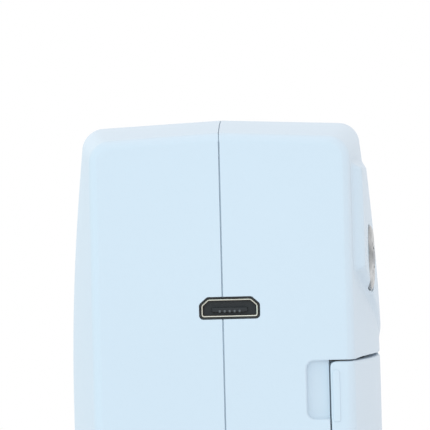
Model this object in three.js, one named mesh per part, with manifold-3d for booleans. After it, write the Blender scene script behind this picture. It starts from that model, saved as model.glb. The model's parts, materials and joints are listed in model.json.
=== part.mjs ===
// A handheld rechargeable sewing machine. Millimetres, +Z up, needle end at +Y, charging socket at the
// rear end at -Y, and the origin at the middle of the surface that it stands on.
import * as THREE from 'three';
import * as BufferGeometryUtils from 'three/addons/utils/BufferGeometryUtils.js';
import Module from 'manifold-3d';

const wasm = await Module();
wasm.setup();

// ---------------------------------------------------------------- driving dimensions

const FIT = 0.3; // gap between two pieces that touch
const TINY = 0.05; // how far a cutter runs past a face

// Casing
const LENGTH = 200;
const HEIGHT = 74; // at the crest
const REAR_DROP = 4; // the top is this much lower at the rear edge
const NOSE_DROP = 8;
const CREST_AHEAD = 70; // rear face to crest
const HALF_END = 17; // half thickness at the rear face
const HALF_MID = 21.5;
const HALF_NOSE = 15.5;
const FLARE_RUN = 48; // rear face to full thickness
const TAPER_RUN = 110; // full thickness to nose
const CROWN = 0.75; // fall of the top from the seam to the side
const TUCK_TOP = 3.15; // how far the sides lean in at the crest
const TUCK_FROM = 35;
const TUCK_BASE = 1.5;
const TUCK_UNDER = 14;
const TOP_R = 3.2;
const BASE_R = 4;
const EDGE_R = 0.9;
const NOSE_R = 8;
const WALL = 2;
const FOOT_H = 0.8; // how far the rubber feet stand below the casing

// Throat between head and bed
const BED_TOP = 14;
const BED_WALL = 3.2;
const THROAT_H = 20;
const THROAT_DEEP = 54;
const THROAT_R = 5;

// Raised pad on the right side
const PAD_RISE = 1.3;
const PAD_RUN = 70;
const PAD_BACK = 2.5; // rear face to pad
const PAD_TOP_DOWN = 4.3; // rear top edge to the pad's top
const PAD_H = 13.6;
const PAD_SWEEP = 11; // how far its lower edge drops towards the front

// Charging socket, board and cell
const CELL_HEAD = 4.5; // rear top edge to the cell's room, whose floor is the socket's middle
const USB_X = 0.9;
const USB_W = 7.5;
const USB_H = 2.45;
const USB_LONG = 5.5;
const USB_SKIN = 0.3;
const USB_ROOM = 0.2; // gap around the socket in the casing
const BOARD_T = 1.2;
const BOARD_W = 18;
const BOARD_LONG = 38;
const CELL_R = 9.2;
const CELL_LONG = 65;
const CELL_BACK = 8.5; // rear face to cell
const CRADLE_T = 1.2;

// Thread cover and spool compartment
const DOOR_T = 1.8;
const DOOR_GAP = 0.35;
const DOOR_LOW = 6;
const DOOR_UNDER_USB = 7.3; // socket middle to the cover's top edge
const DOOR_LONG = 50;
const DOOR_WRAP = 3.1; // how far it reaches across the rear face
const SLOT_H = 0.25; // thread exit above the cover
const KNUCKLE_R = 1.7;
const HINGE_PIN_R = 0.8;
const KNUCKLE_H = 6;
const NAIL_W = 3.3;
const NAIL_H = 7.6;
const NAIL_UNDER_USB = 14.8; // socket middle to the recess's foot
const NAIL_DEEP = 1.3;
const TRAY_T = 1.2;
const TRAY_LEFT = -9;
const SPOOL_R = 13.5;
const SPOOL_W = 16;
const SPOOL_RIM = 1.2;
const SPOOL_HUB_R = 4.5;
const WINDING_R = 11.5;
const SPOOL_PIN_R = 2.4;
const CAP_R = 4.6;
const CAP_T = 2;

// Thread tension
const TENSION_BACK = 13; // rear face to its middle
const TENSION_DOWN = 16.7; // rear top edge to its middle
const TENSION_R = 4.3;
const TENSION_DISC_T = 0.4;
const DIAL_T = 0.6;
const STUD_R = 1.2;
const STUD_DEEP = 7;

// Gear train, one module for every gear
const MODULE = 0.6;
const MAIN_TEETH = 40;
const SMALL_TEETH = 12;
const BIG_TEETH = 36;
const PINION_TEETH = 10;
const GEAR_T = 2.4;
const SHAFT_Z = 44;
const SHAFT_R = 2;
const BUSH_R = 3.4;
const IDLER_ANGLE = 225; // degrees, from the main shaft to the idler
const MOTOR_ANGLE = 200; // degrees, from the idler to the motor
const IDLER_R = 1;
const PLATE_X = 10;
const PLATE_T = 1.2;
const MOTOR_R = 10;
const MOTOR_H = 15;
const MOTOR_LONG = 24.7;
const MOTOR_BOSS_R = 3;
const CRANK_R = 6.5;
const CRANK_PIN_R = 1.5;
const CRANK_DISC_R = 9;
const CRANK_DISC_T = 2;
const WHEEL_R = 12;
const WHEEL_T = 2.5;
const WHEEL_OUT = 22.2; // outer face of the handwheel, and of the slider on the other side

// Needle drive
const NEEDLE_BACK = 18.3; // nose to needle
const ROCKER_X = 3.3;
const ROCKER_T = 2.2;
const ROCKER_FRONT = 36;
const ROCKER_REAR = 38.5;
const ROCKER_UP = 16; // head underside to the rocker's pin
const ROCKER_PIN_R = 2;
const DRIVE_PIN_R = 1.2;
const BAR_R = 2;
const BAR_UP = 6.5; // collar middle to the bar's top
const COLLAR_H = 4.8;
const COLLAR_W = 6;
const CLAMP_R = 3.6;
const CLAMP_H = 6;
const CLAMP_GAP = 2.3; // clamp to foot with the needle down
const NEEDLE_R = 0.8;
const NEEDLE_TIP_UP = 4; // tip above the bed with the needle up

// Foot, feed and looper
const PRESSER_BACK = 11.7; // needle to presser bar
const PRESSER_R = 1.75;
const PRESSER_LIFT = 5;
const LIFT_ANGLE = 60;
const FOOT_T = 1.6;
const FOOT_W = 15;
const FOOT_SLOT = 4.2; // half width between the toes
const LEVER_BACK = 6; // presser bar to the lever's axis
const LEVER_UP = 7; // head underside to the lever's axis
const LEVER_R = 1.5;
const PLATE_W = 19;
const PLATE_LONG = 34;
const NEEDLE_PLATE_T = 1.3;
const FEED_X = 5.4;
const FEED_W = 1.6;
const FEED_LONG = 14;
const FEED_STROKE = 2.4;
const LOOPER_T = 2.5;
const LOOPER_LONG = 30;
const LOOPER_X = 4;

// Buttons, lamp, guides, feet and screws
const BUTTON_FROM_NOSE = 58;
const BUTTON_W = 11;
const BUTTON_LONG = 16;
const BUTTON_UP = 1;
const BUTTON_TRAVEL = 1.5;
const SLIDER_UP = 14; // above the main shaft
const SLIDER_TRAVEL = 5;
const SLIDER_LONG = 5;
const SLIDER_H = 3;
const LENS_R = 2.5;
const GUIDE_WIRE_R = 0.7;
const GUIDE_REACH = 2.7;
const PAD_FOOT_W = 24;
const PAD_FOOT_LONG = 12;
const SCREW_HEAD_R = 2.3;
const SCREW_R = 1.2;
const BOSS_R = 3.2;

// ---------------------------------------------------------------- places that follow from them

const REAR = -LENGTH / 2;
const NOSE = LENGTH / 2;
const REAR_TOP = HEIGHT - REAR_DROP;
const HEAD_LOW = BED_TOP + THROAT_H;
const THROAT_Y = NOSE - THROAT_DEEP;
const USB_Z = REAR_TOP - CELL_HEAD - 2 * CELL_R;
const BOARD_TOP = USB_Z - USB_H / 2 - FIT;
const CELL_Z = BOARD_TOP + CRADLE_T + 2 * FIT + CELL_R + 0.6;
const DOOR_TOP = USB_Z - DOOR_UNDER_USB;
const DOOR_Y = REAR + DOOR_LONG;
const DOOR_X = HALF_END - DOOR_WRAP;
const HINGE_X = HALF_MID - KNUCKLE_R - 0.2;
const SPOOL_Y = REAR + DOOR_LONG / 2;
const SPOOL_Z = (DOOR_LOW + DOOR_TOP) / 2;
const TENSION_Y = REAR + TENSION_BACK;
const TENSION_Z = REAR_TOP - TENSION_DOWN;
const NEEDLE_Y = NOSE - NEEDLE_BACK;
const PIVOT_Y = NEEDLE_Y - ROCKER_FRONT + 0.3;
const PIVOT_Z = HEAD_LOW + ROCKER_UP;
const SHAFT_Y = PIVOT_Y - Math.sqrt(ROCKER_REAR ** 2 - (PIVOT_Z - SHAFT_Z) ** 2);
const SWING = Math.asin(CRANK_R / ROCKER_REAR); // half of the rocker's travel, radians
const STROKE = 2 * ROCKER_FRONT * Math.sin(SWING);
const COLLAR_Z = PIVOT_Z + ROCKER_FRONT * Math.sin(SWING);
const FOOT_TOP = BED_TOP + 2 * FIT + FOOT_T;
const CLAMP_LOW = FOOT_TOP + STROKE + CLAMP_GAP;
const PRESSER_Y = NEEDLE_Y - PRESSER_BACK;
const LEVER_Y = PRESSER_Y - LEVER_BACK;
const LEVER_Z = HEAD_LOW + LEVER_UP;
const IDLER = polar(SHAFT_Y, SHAFT_Z, MODULE * (MAIN_TEETH + SMALL_TEETH) / 2, IDLER_ANGLE);
const MOTOR = polar(...IDLER, MODULE * (BIG_TEETH + PINION_TEETH) / 2, MOTOR_ANGLE);
const LAYER_B = PLATE_X + PLATE_T + 0.4; // main gear and the idler's small gear
const LAYER_A = LAYER_B + GEAR_T + 0.6; // idler's big gear and the pinion
const RECESS_X = WHEEL_OUT - WHEEL_T - FIT; // floor of the handwheel's recess
const BUTTON_Y = NOSE - BUTTON_FROM_NOSE;
const SCREWS = [
  [DOOR_Y + 5, DOOR_TOP - 8],
  [DOOR_Y + 5, DOOR_LOW + 1],
  [REAR + CELL_BACK + CELL_LONG + 6, REAR_TOP - 7],
  [THROAT_Y - 9, DOOR_LOW + 1],
  [PRESSER_Y - 12, HEAD_LOW + 26],
];

const COLOURS = {
  casing: [0xd6e8f2, 0.55, 0],
  cream: [0xe9eef1, 0.5, 0],
  silver: [0xbfc4c6, 0.3, 1],
  steel: [0x9aa0a4, 0.4, 1],
  brass: [0xb99a55, 0.4, 1],
  black: [0x1b1c1e, 0.6, 0],
  rubber: [0x50565a, 0.8, 0],
  board: [0x1f5b3d, 0.6, 0],
  cell: [0x3c74b8, 0.5, 0],
  thread: [0xf2f2ee, 0.9, 0],
  nylon: [0xeceae2, 0.6, 0],
  clear: [0xf4f8fa, 0.2, 0],
};

const machine = new THREE.Group();

// ---------------------------------------------------------------- shapes

function polar(y, z, radius, degrees) {
  const turn = THREE.MathUtils.degToRad(degrees);
  return [y + radius * Math.cos(turn), z + radius * Math.sin(turn)];
}

function toSolid(geometry) {
  const bare = geometry.clone();
  for (const name of ['normal', 'uv']) bare.deleteAttribute(name);
  const merged = BufferGeometryUtils.mergeVertices(bare, 1e-4);
  return new wasm.Manifold(new wasm.Mesh({
    numProp: 3,
    vertProperties: Float32Array.from(merged.attributes.position.array),
    triVerts: Uint32Array.from(merged.index.array),
  }));
}

function toGeometry(solid) {
  const mesh = solid.getMesh();
  const geometry = new THREE.BufferGeometry();
  geometry.setAttribute('position', new THREE.BufferAttribute(mesh.vertProperties, mesh.numProp));
  geometry.setIndex(new THREE.BufferAttribute(mesh.triVerts, 1));
  geometry.computeVertexNormals();
  return geometry;
}

function cut(solid, ...cutters) {
  return cutters.flat().reduce((left, cutter) => left.subtract(cutter), solid);
}

function join(...solids) {
  return solids.flat().reduce((whole, solid) => whole.add(solid));
}

/** The matrix that lays an outline's own x and y along Y and Z, Z and X, or X and Y. */
function along(axis) {
  const [x, y, z] = [0, 1, 2].map((index) => new THREE.Vector3().setComponent(index, 1));
  const bases = { x: [y, z, x], y: [z, x, y], z: [x, y, z] };
  return new THREE.Matrix4().makeBasis(...bases[axis]);
}

/** An outline of [y, z], [z, x] or [x, y] points, carried from one place on the axis to another. */
function prism(axis, outline, from, to) {
  const shape = new THREE.Shape(outline.map(([a, b]) => new THREE.Vector2(a, b)));
  const geometry = new THREE.ExtrudeGeometry(shape, { depth: to - from, bevelEnabled: false });
  geometry.translate(0, 0, from);
  return toSolid(geometry.applyMatrix4(along(axis)));
}

function box(x, y, z) {
  const geometry = new THREE.BoxGeometry(x[1] - x[0], y[1] - y[0], z[1] - z[0]);
  geometry.translate((x[0] + x[1]) / 2, (y[0] + y[1]) / 2, (z[0] + z[1]) / 2);
  return toSolid(geometry);
}

/** A rod along an axis. Its middle is [y, z], [z, x] or [x, y], as prism's points are. */
function rod(axis, middle, radius, from, to, sides = 20) {
  const geometry = new THREE.CylinderGeometry(radius, radius, to - from, sides);
  geometry.rotateX(Math.PI / 2);
  geometry.translate(middle[0], middle[1], (from + to) / 2);
  return toSolid(geometry.applyMatrix4(along(axis)));
}

/** A turned piece: its profile is [radius, place along the axis] from axis to axis or closed. */
function turned(axis, middle, profile, sides = 24) {
  const points = profile.map(([radius, place]) => new THREE.Vector2(radius, place));
  const geometry = new THREE.LatheGeometry(points, sides);
  geometry.rotateX(Math.PI / 2);
  geometry.translate(middle[0], middle[1], 0);
  return toSolid(geometry.applyMatrix4(along(axis)));
}

/** The outline with its corners rounded; radii is one radius or one for each corner. */
function rounded(outline, radii, steps = 4) {
  const corners = outline.map(([a, b]) => new THREE.Vector2(a, b));
  return corners.flatMap((corner, index) => {
    const radius = Array.isArray(radii) ? radii[index] : radii;
    if (!radius) return [[corner.x, corner.y]];
    const before = corners.at(index - 1).clone().sub(corner).normalize();
    const after = corners[(index + 1) % corners.length].clone().sub(corner).normalize();
    const half = before.angleTo(after) / 2;
    const start = corner.clone().addScaledVector(before, radius / Math.tan(half));
    const end = corner.clone().addScaledVector(after, radius / Math.tan(half));
    const curve = new THREE.QuadraticBezierCurve(start, corner, end);
    return curve.getPoints(steps).map((point) => [point.x, point.y]);
  });
}

function rectangle(a, b) {
  return [[a[0], b[0]], [a[1], b[0]], [a[1], b[1]], [a[0], b[1]]];
}

/** Adds one named piece to the machine. */
function add(name, look, solid) {
  const [color, roughness, metalness] = COLOURS[look];
  const material = new THREE.MeshStandardMaterial({ color, roughness, metalness });
  const mesh = new THREE.Mesh(toGeometry(solid), material);
  mesh.name = name;
  machine.add(mesh);
}

// ---------------------------------------------------------------- the casing's form

function easeOut(share) {
  return 1 - (1 - THREE.MathUtils.clamp(share, 0, 1)) ** 2;
}

function topAt(y) {
  const crest = REAR + CREST_AHEAD;
  const [drop, run] = y < crest ? [REAR_DROP, CREST_AHEAD] : [NOSE_DROP, NOSE - crest];
  return HEIGHT - drop * ((y - crest) / run) ** 2;
}

/** Half of the casing's thickness at a place along it and a height. */
function halfAt(y, z) {
  const flare = easeOut((y - REAR) / FLARE_RUN);
  const taper = THREE.MathUtils.smoothstep(y, NOSE - TAPER_RUN, NOSE);
  const full = HALF_END + (HALF_MID - HALF_END) * flare - (HALF_MID - HALF_NOSE) * taper;
  const high = Math.max(0, (z - TUCK_FROM) / (HEIGHT - TUCK_FROM));
  const low = Math.max(0, (TUCK_UNDER - z) / TUCK_UNDER);
  return full - TUCK_TOP * flare * high ** 2 - TUCK_BASE * low ** 2;
}

/** How far the surface lies inside the full form where the ends round over. */
function endInset(y, inset) {
  const nose = NOSE_R - inset;
  const past = y - (NOSE - NOSE_R);
  if (past > 0) return inset + nose - Math.sqrt(Math.max(0, nose ** 2 - past ** 2));
  const edge = EDGE_R - inset;
  const short = REAR + EDGE_R - y;
  if (short > 0 && edge > 0) return inset + edge - Math.sqrt(Math.max(0, edge ** 2 - short ** 2));
  return inset;
}

/** Half of a cross-section on the +X side, from the seam at the base round to the seam at the top. */
function section(y, inset, seam) {
  const deep = endInset(y, inset);
  const low = FOOT_H + deep;
  const high = topAt(y) - deep;
  const side = (z) => halfAt(y, z) - deep;
  const corner = (radius) => Math.max(radius - Math.max(deep, 0), 0.4);
  const [under, over] = [corner(BASE_R), corner(TOP_R)];
  const points = [[seam, low]];
  for (const turn of [0, 30, 60, 90]) {
    const angle = THREE.MathUtils.degToRad(turn);
    const z = low + under * (1 - Math.cos(angle));
    points.push([side(low + under) - under * (1 - Math.sin(angle)), z]);
  }
  const [from, to] = [low + under, high - CROWN - over];
  for (const share of [0.12, 0.3, 0.5, 0.65, 0.8, 0.9, 1]) {
    const z = from + (to - from) * share;
    points.push([side(z), z]);
  }
  for (const turn of [30, 60, 90]) {
    const angle = THREE.MathUtils.degToRad(turn);
    const z = to + over * Math.sin(angle);
    points.push([side(to) - over * (1 - Math.cos(angle)), z]);
  }
  points.push([seam, high]);
  return points;
}

/** One half of the casing's form as a closed solid, moved in by an inset and out by a rise along it. */
function form(side, inset, seam = FIT / 2, rise = () => 0) {
  const start = REAR + inset;
  const end = NOSE - inset;
  const turns = [90, 60, 30].map((turn) => Math.sin(THREE.MathUtils.degToRad(turn)));
  const stations = [start];
  for (const along of [EDGE_R / 3, EDGE_R, 8, 16, 24, 32, 40, FLARE_RUN]) {
    if (REAR + along > start + TINY) stations.push(REAR + along);
  }
  const [from, to] = [REAR + FLARE_RUN, NOSE - NOSE_R];
  for (const share of [0.15, 0.3, 0.45, 0.6, 0.72, 0.84, 1]) stations.push(from + (to - from) * share);
  const nose = end - (NOSE - NOSE_R);
  for (const turn of turns.reverse()) stations.push(NOSE - NOSE_R + nose * turn);
  const ring = (y) => section(y, inset - rise(y), seam).map(([x, z]) => new THREE.Vector3(side * x, y, z));
  return loft(stations.map(ring));
}

/** A solid through rings of equally many points, each ring convex. */
function loft(rings) {
  const count = rings[0].length;
  const index = [];
  for (let ring = 0; ring + 1 < rings.length; ring += 1) {
    for (let point = 0; point < count; point += 1) {
      const [a, b] = [ring * count + point, ring * count + (point + 1) % count];
      index.push(a, b, b + count, a, b + count, a + count);
    }
  }
  const last = (rings.length - 1) * count;
  for (let point = 1; point + 1 < count; point += 1) {
    index.push(0, point + 1, point, last, last + point, last + point + 1);
  }
  const geometry = new THREE.BufferGeometry().setFromPoints(rings.flat());
  const [first, second, third] = [rings[0][0], rings[0][1], rings[0][2]];
  const facing = second.clone().sub(first).cross(third.clone().sub(first)).y;
  geometry.setIndex(facing < 0 ? index.reverse() : index);
  return toSolid(geometry);
}

/** The throat's side outline, grown into the casing by a wall above and behind and another below. */
function throat(grow, below) {
  const outline = [
    [NOSE + 1, BED_TOP - below - 1], [THROAT_Y - grow, BED_TOP - below],
    [THROAT_Y - grow, HEAD_LOW + grow], [NOSE + 1, HEAD_LOW + grow + 1],
  ];
  return prism('x', rounded(outline, [0, THROAT_R, THROAT_R, 0]), -2 * HALF_MID, 2 * HALF_MID);
}

function padRise(y) {
  return PAD_RISE * Math.max(0, 1 - Math.max(0, y - REAR) / PAD_RUN) ** 2;
}

/** The raised pad: its lower edge sweeps down as it runs towards the front. */
function pad() {
  const top = REAR_TOP - PAD_TOP_DOWN;
  const [back, front] = [REAR + PAD_BACK, REAR + PAD_RUN];
  const low = top - PAD_H;
  const sweep = [0, 0.2, 0.4, 0.6, 0.8, 1].map((share) => [
    back + (front - back) * share, low - PAD_SWEEP * easeOut(share),
  ]);
  const outline = prism('x', [...sweep, [front, top + 2], [back, top]], 0, 2 * HALF_MID);
  return form(1, 0, FIT / 2, padRise).intersect(outline);
}

/** A rod from the seam to the wall of one half, kept inside its surface. */
function boss(side, [y, z]) {
  const rodAcross = side > 0 ? [FIT, 2 * HALF_MID] : [-2 * HALF_MID, -FIT];
  return rod('x', [y, z], BOSS_R, ...rodAcross, 12).intersect(form(side, 0.4));
}

function screwHead(place) {
  return -halfAt(...place) + WALL / 2;
}

/** The opening for the thread cover, with the widened slot that the thread leaves by. */
function doorOpening(gap) {
  const front = DOOR_Y + (gap ? KNUCKLE_R + 0.4 : -KNUCKLE_R - 0.4);
  const low = DOOR_LOW - gap;
  const high = DOOR_TOP + gap;
  const slot = gap ? [[front - 6, high], [front - 14, high + SLOT_H], [REAR + 10, high + SLOT_H], [REAR + 2, high]] : [];
  const outline = [[REAR - 1, low], [front, low], [front, high], ...slot, [REAR - 1, high]];
  return prism('x', outline, DOOR_X - gap, 2 * HALF_MID);
}

function usbOutline(grow) {
  const [half, tall] = [USB_W / 2 + grow, USB_H / 2 + grow];
  const slant = tall * 0.8;
  const points = [[-half, -tall], [half, -tall], [half, tall - slant], [half - slant * 0.8, tall],
    [-half + slant * 0.8, tall], [-half, tall - slant]];
  return points.map(([x, z]) => [USB_Z + z, USB_X + x]);
}

function halfCasing(side) {
  const shape = form(side, 0).subtract(throat(0, 0));
  const hollow = form(side, WALL).subtract(throat(WALL, BED_WALL));
  let half = shape.subtract(hollow);
  if (side > 0) half = half.add(pad().subtract(hollow));
  return half.add(join(SCREWS.map((place) => boss(side, place))));
}

/** What both halves are cut by along the seam. */
function seamCuts() {
  const top = topAt(BUTTON_Y);
  const feet = footPlaces().map(([y, half]) => box(
    [-half - FIT, half + FIT], [y - FIT, y + PAD_FOOT_LONG + FIT], [0, 2 * FOOT_H],
  ));
  return [
    prism('y', usbOutline(USB_ROOM), REAR - 1, REAR + WALL + 1),
    box([-8, 8], [PRESSER_Y - 4, NEEDLE_Y + 11], [HEAD_LOW - 1, HEAD_LOW + WALL + 1]),
    box([-PLATE_W / 2 - FIT, PLATE_W / 2 + FIT], plateSpan(FIT), [BED_TOP - NEEDLE_PLATE_T - FIT, BED_TOP + 1]),
    box([-PLATE_W / 2 + 1.5, PLATE_W / 2 - 1.5], plateSpan(-1.5), [BED_TOP - BED_WALL - 1, BED_TOP]),
    prism('z', buttonOutline(FIT), top - 6, top + 4),
    ...feet,
  ];
}

function plateSpan(grow) {
  return [NOSE - 4 - PLATE_LONG - grow, NOSE - 4 + grow];
}

function buttonOutline(grow) {
  const [x, y] = [BUTTON_W / 2 + grow, BUTTON_LONG / 2 + grow];
  return rounded(rectangle([-x, x], [BUTTON_Y - y, BUTTON_Y + y]), 3);
}

function footPlaces() {
  return [[REAR + 8, PAD_FOOT_W / 2], [NOSE - 24, PAD_FOOT_W / 2 - 3]];
}

function leftShell() {
  const slot = box(
    [-2 * HALF_MID, -HALF_END + 2], sliderSpan(FIT, SLIDER_TRAVEL), [sliderZ(-1) - FIT, sliderZ(1) + FIT],
  );
  const screws = SCREWS.flatMap((place) => [
    rod('x', place, SCREW_R + FIT, -2 * HALF_MID, 0, 10),
    rod('x', place, SCREW_HEAD_R + FIT, -2 * HALF_MID, screwHead(place), 12),
  ]);
  const lamp = rod('z', lampPlace(), LENS_R + FIT, HEAD_LOW - 1, HEAD_LOW + WALL + 1.5, 16);
  add('left_shell', 'casing', cut(halfCasing(-1), seamCuts(), slot, screws, lamp));
}

function rightShell() {
  const shaft = [SHAFT_Y, SHAFT_Z];
  const lever = [LEVER_Y, LEVER_Z];
  const backing = rod('x', shaft, WHEEL_R + 2, RECESS_X - WALL, 2 * HALF_MID, 32).intersect(form(1, 0));
  const knuckle = join(
    rod('z', [HINGE_X, DOOR_Y], KNUCKLE_R, ...knuckleGap(FIT), 16),
    box([HINGE_X - 1, HINGE_X + 1], [DOOR_Y, DOOR_Y + KNUCKLE_R + 1], knuckleGap(FIT)),
  );
  const nail = rounded(
    rectangle([USB_Z - NAIL_UNDER_USB, USB_Z - NAIL_UNDER_USB + NAIL_H], [DOOR_X - NAIL_W, DOOR_X + 1]), [1, 0, 0, 1],
  );
  const shell = join(halfCasing(1), backing);
  const opened = cut(
    shell, seamCuts(), doorOpening(DOOR_GAP),
    prism('y', nail, REAR - 1, REAR + NAIL_DEEP),
    rod('x', shaft, WHEEL_R + 0.6, RECESS_X, 2 * HALF_MID, 32),
    rod('x', shaft, BUSH_R + FIT, RECESS_X - WALL - 1, RECESS_X + 1),
    rod('x', lever, LEVER_R + FIT, 5, 2 * HALF_MID),
    ...SCREWS.map((place) => rod('x', place, SCREW_R + FIT, 0, 8, 10)),
    onTension(TENSION_R + 0.5, -1.2, 3),
    onTension(STUD_R + FIT, -STUD_DEEP, 1, 12),
  );
  const room = rod('z', [HINGE_X, DOOR_Y], HINGE_PIN_R + FIT, DOOR_LOW, DOOR_TOP, 12);
  add('right_shell', 'casing', opened.add(knuckle).subtract(room));
}

// ---------------------------------------------------------------- power

function socket() {
  const [back, front] = [REAR + USB_LONG + 0.35, REAR + 0.35];
  const shell = prism('y', usbOutline(0), front, back);
  const inside = prism('y', usbOutline(-USB_SKIN), front - 1, back - USB_SKIN);
  add('usb_shell', 'silver', shell.subtract(inside));
  const low = USB_Z - 0.55;
  const tongue = box([USB_X - 2.3, USB_X + 2.3], [front + 0.6, back - USB_SKIN - FIT], [low, low + 0.6]);
  add('usb_tongue', 'black', tongue);
}

function board() {
  const from = REAR + WALL + FIT;
  const x = [USB_X - BOARD_W / 2, USB_X + BOARD_W / 2];
  const parts = [
    box(x, [from, from + BOARD_LONG], [BOARD_TOP - BOARD_T, BOARD_TOP]),
    box([x[0] + 3, x[0] + 8], [from + 12, from + 17], [BOARD_TOP - BOARD_T - 1, BOARD_TOP - 0.2]),
    box([x[1] - 8, x[1] - 3], [from + 20, from + 24], [BOARD_TOP - BOARD_T - 1.8, BOARD_TOP - 0.2]),
  ];
  add('charge_board', 'board', join(parts));
}

function cell() {
  const [from, to] = [REAR + CELL_BACK, REAR + CELL_BACK + CELL_LONG];
  const profile = [[0, from], [CELL_R - 0.6, from], [CELL_R, from + 0.8], [CELL_R, to - 1.2], [3, to - 1.2],
    [3, to], [0, to]];
  add('battery_cell', 'cell', turned('y', [CELL_Z, 0], profile));
  const steps = Array.from({ length: 9 }, (_, step) => 90 + 100 + step * 20);
  const arc = (radius) => steps.map((turn) => polar(0, CELL_Z, radius, turn).reverse());
  const outline = [...arc(CELL_R + FIT), ...arc(CELL_R + FIT + CRADLE_T).reverse()];
  add('battery_cradle', 'nylon', prism('y', outline, from + 8, to - 8));
}

// ---------------------------------------------------------------- thread compartment

function knuckleGap(gap) {
  return [DOOR_LOW + 2 + KNUCKLE_H + gap, DOOR_TOP - 2 - KNUCKLE_H - gap];
}

function threadCover() {
  const skin = form(1, 0).subtract(form(1, DOOR_T)).intersect(doorOpening(0));
  const knuckles = [[DOOR_LOW + 2, knuckleGap(0)[0]], [knuckleGap(0)[1], DOOR_TOP - 2]];
  const leaves = knuckles.map((span) => join(
    rod('z', [HINGE_X, DOOR_Y], KNUCKLE_R, ...span, 16),
    box([HINGE_X - 0.4, HINGE_X + 1.3], [DOOR_Y - KNUCKLE_R - 1.5, DOOR_Y], span),
  ));
  const bore = rod('z', [HINGE_X, DOOR_Y], HINGE_PIN_R + FIT, DOOR_LOW, DOOR_TOP, 12);
  add('thread_cover', 'casing', join(skin, leaves).subtract(bore));
  const pin = rod('z', [HINGE_X, DOOR_Y], HINGE_PIN_R, DOOR_LOW + 2, DOOR_TOP - 2, 10);
  add('cover_hinge_pin', 'steel', pin);
}

function spoolTray() {
  const [back, front] = [REAR + WALL + FIT + 1, DOOR_Y - KNUCKLE_R - 2];
  const [low, high] = [DOOR_LOW - 1, DOOR_TOP + 1];
  const outer = rectangle([back, front], [low, high]);
  const inner = rectangle([back + TRAY_T, front - TRAY_T], [low + TRAY_T, high - TRAY_T]);
  const block = prism('x', outer, 0, 2 * HALF_MID).intersect(form(1, WALL + FIT, -1));
  const tray = join(prism('x', outer, TRAY_LEFT, 0.5), block);
  add('spool_tray', 'nylon', tray.subtract(prism('x', inner, TRAY_LEFT + TRAY_T, 2 * HALF_MID)));
}

function spool() {
  const middle = [SPOOL_Y, SPOOL_Z];
  const from = TRAY_LEFT + TRAY_T + 1.8;
  const to = from + SPOOL_W;
  const bore = SPOOL_PIN_R + FIT;
  const root = TRAY_LEFT + TRAY_T + FIT;
  const end = to + 2 * FIT + CAP_T;
  const pin = [[0, root], [SPOOL_PIN_R + 2.5, root], [SPOOL_PIN_R + 2.5, root + 1.1], [SPOOL_PIN_R, root + 1.1],
    [SPOOL_PIN_R, end - 0.5], [SPOOL_PIN_R - 0.5, end], [0, end]];
  add('spool_pin', 'nylon', turned('x', middle, pin, 16));
  const reel = [[bore, from], [SPOOL_R, from], [SPOOL_R, from + SPOOL_RIM], [SPOOL_HUB_R, from + SPOOL_RIM],
    [SPOOL_HUB_R, to - SPOOL_RIM], [SPOOL_R, to - SPOOL_RIM], [SPOOL_R, to], [bore, to], [bore, from]];
  add('thread_spool', 'cream', turned('x', middle, reel, 28));
  const [left, right] = [from + SPOOL_RIM + FIT, to - SPOOL_RIM - FIT];
  const wound = [[SPOOL_HUB_R + FIT, left], [WINDING_R, left], [WINDING_R + 0.5, (left + right) / 2],
    [WINDING_R, right], [SPOOL_HUB_R + FIT, right], [SPOOL_HUB_R + FIT, left]];
  add('thread_winding', 'thread', turned('x', middle, wound, 28));
  const cap = [[bore, to + FIT], [CAP_R, to + FIT], [CAP_R, end - 0.6], [CAP_R - 0.6, end], [bore, end], [bore, to + FIT]];
  add('spool_cap', 'cream', turned('x', middle, cap, 16));
}

// ---------------------------------------------------------------- thread tension

/** Where the tension axis meets the pad, and how far that axis leans back from X, in radians. */
function tensionPlace() {
  const surface = (y) => halfAt(y, TENSION_Z) + padRise(y);
  const lean = Math.atan((surface(TENSION_Y + 2) - surface(TENSION_Y - 2)) / 4);
  return { x: surface(TENSION_Y), lean };
}

/** Carries a solid turned about X at the origin to the tension axis. */
function toTension(solid) {
  const { x, lean } = tensionPlace();
  const turn = new THREE.Matrix4().makeRotationZ(-lean).setPosition(x, TENSION_Y, TENSION_Z);
  return solid.transform([...turn.elements]);
}

function onTension(radius, from, to, sides = 24) {
  return toTension(rod('x', [0, 0], radius, from, to, sides));
}

function tension() {
  const bore = STUD_R + FIT;
  const disc = (from) => [[bore, from], [TENSION_R, from], [TENSION_R, from + TENSION_DISC_T],
    [bore, from + TENSION_DISC_T], [bore, from]];
  const dial = [[bore, FIT], [TENSION_R, FIT], [TENSION_R, FIT + DIAL_T / 2], [TENSION_R - 0.5, FIT + DIAL_T],
    [bore, FIT + DIAL_T], [bore, FIT]];
  const piece = (profile) => toTension(turned('x', [0, 0], profile));
  add('tension_disc_inner', 'silver', piece(disc(-1.2 + FIT / 2)));
  add('tension_disc_outer', 'silver', piece(disc(-TENSION_DISC_T)));
  add('tension_dial', 'silver', piece(dial));
  add('tension_stud', 'steel', onTension(STUD_R, FIT - STUD_DEEP, FIT + DIAL_T, 12));
}

// ---------------------------------------------------------------- gears and drive

/** A gear's outline about a middle, its first tooth pointing at an angle in degrees. */
function gearOutline([y, z], teeth, first) {
  const pitch = MODULE * teeth / 2;
  const step = 360 / teeth;
  const profile = [[-0.3, -1], [-0.1, 0.8], [0.1, 0.8], [0.3, -1]];
  return Array.from({ length: teeth }, (_, tooth) => profile.map(([share, rise]) => (
    polar(y, z, pitch + rise * MODULE, first + (tooth + share) * step)
  ))).flat();
}

/** The angle of a gear's tooth when its neighbour has a tooth on the line between them. */
function meshAngle(lineAngle, teeth, offset) {
  return lineAngle + 180 + (0.5 + offset) * 360 / teeth;
}

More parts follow.
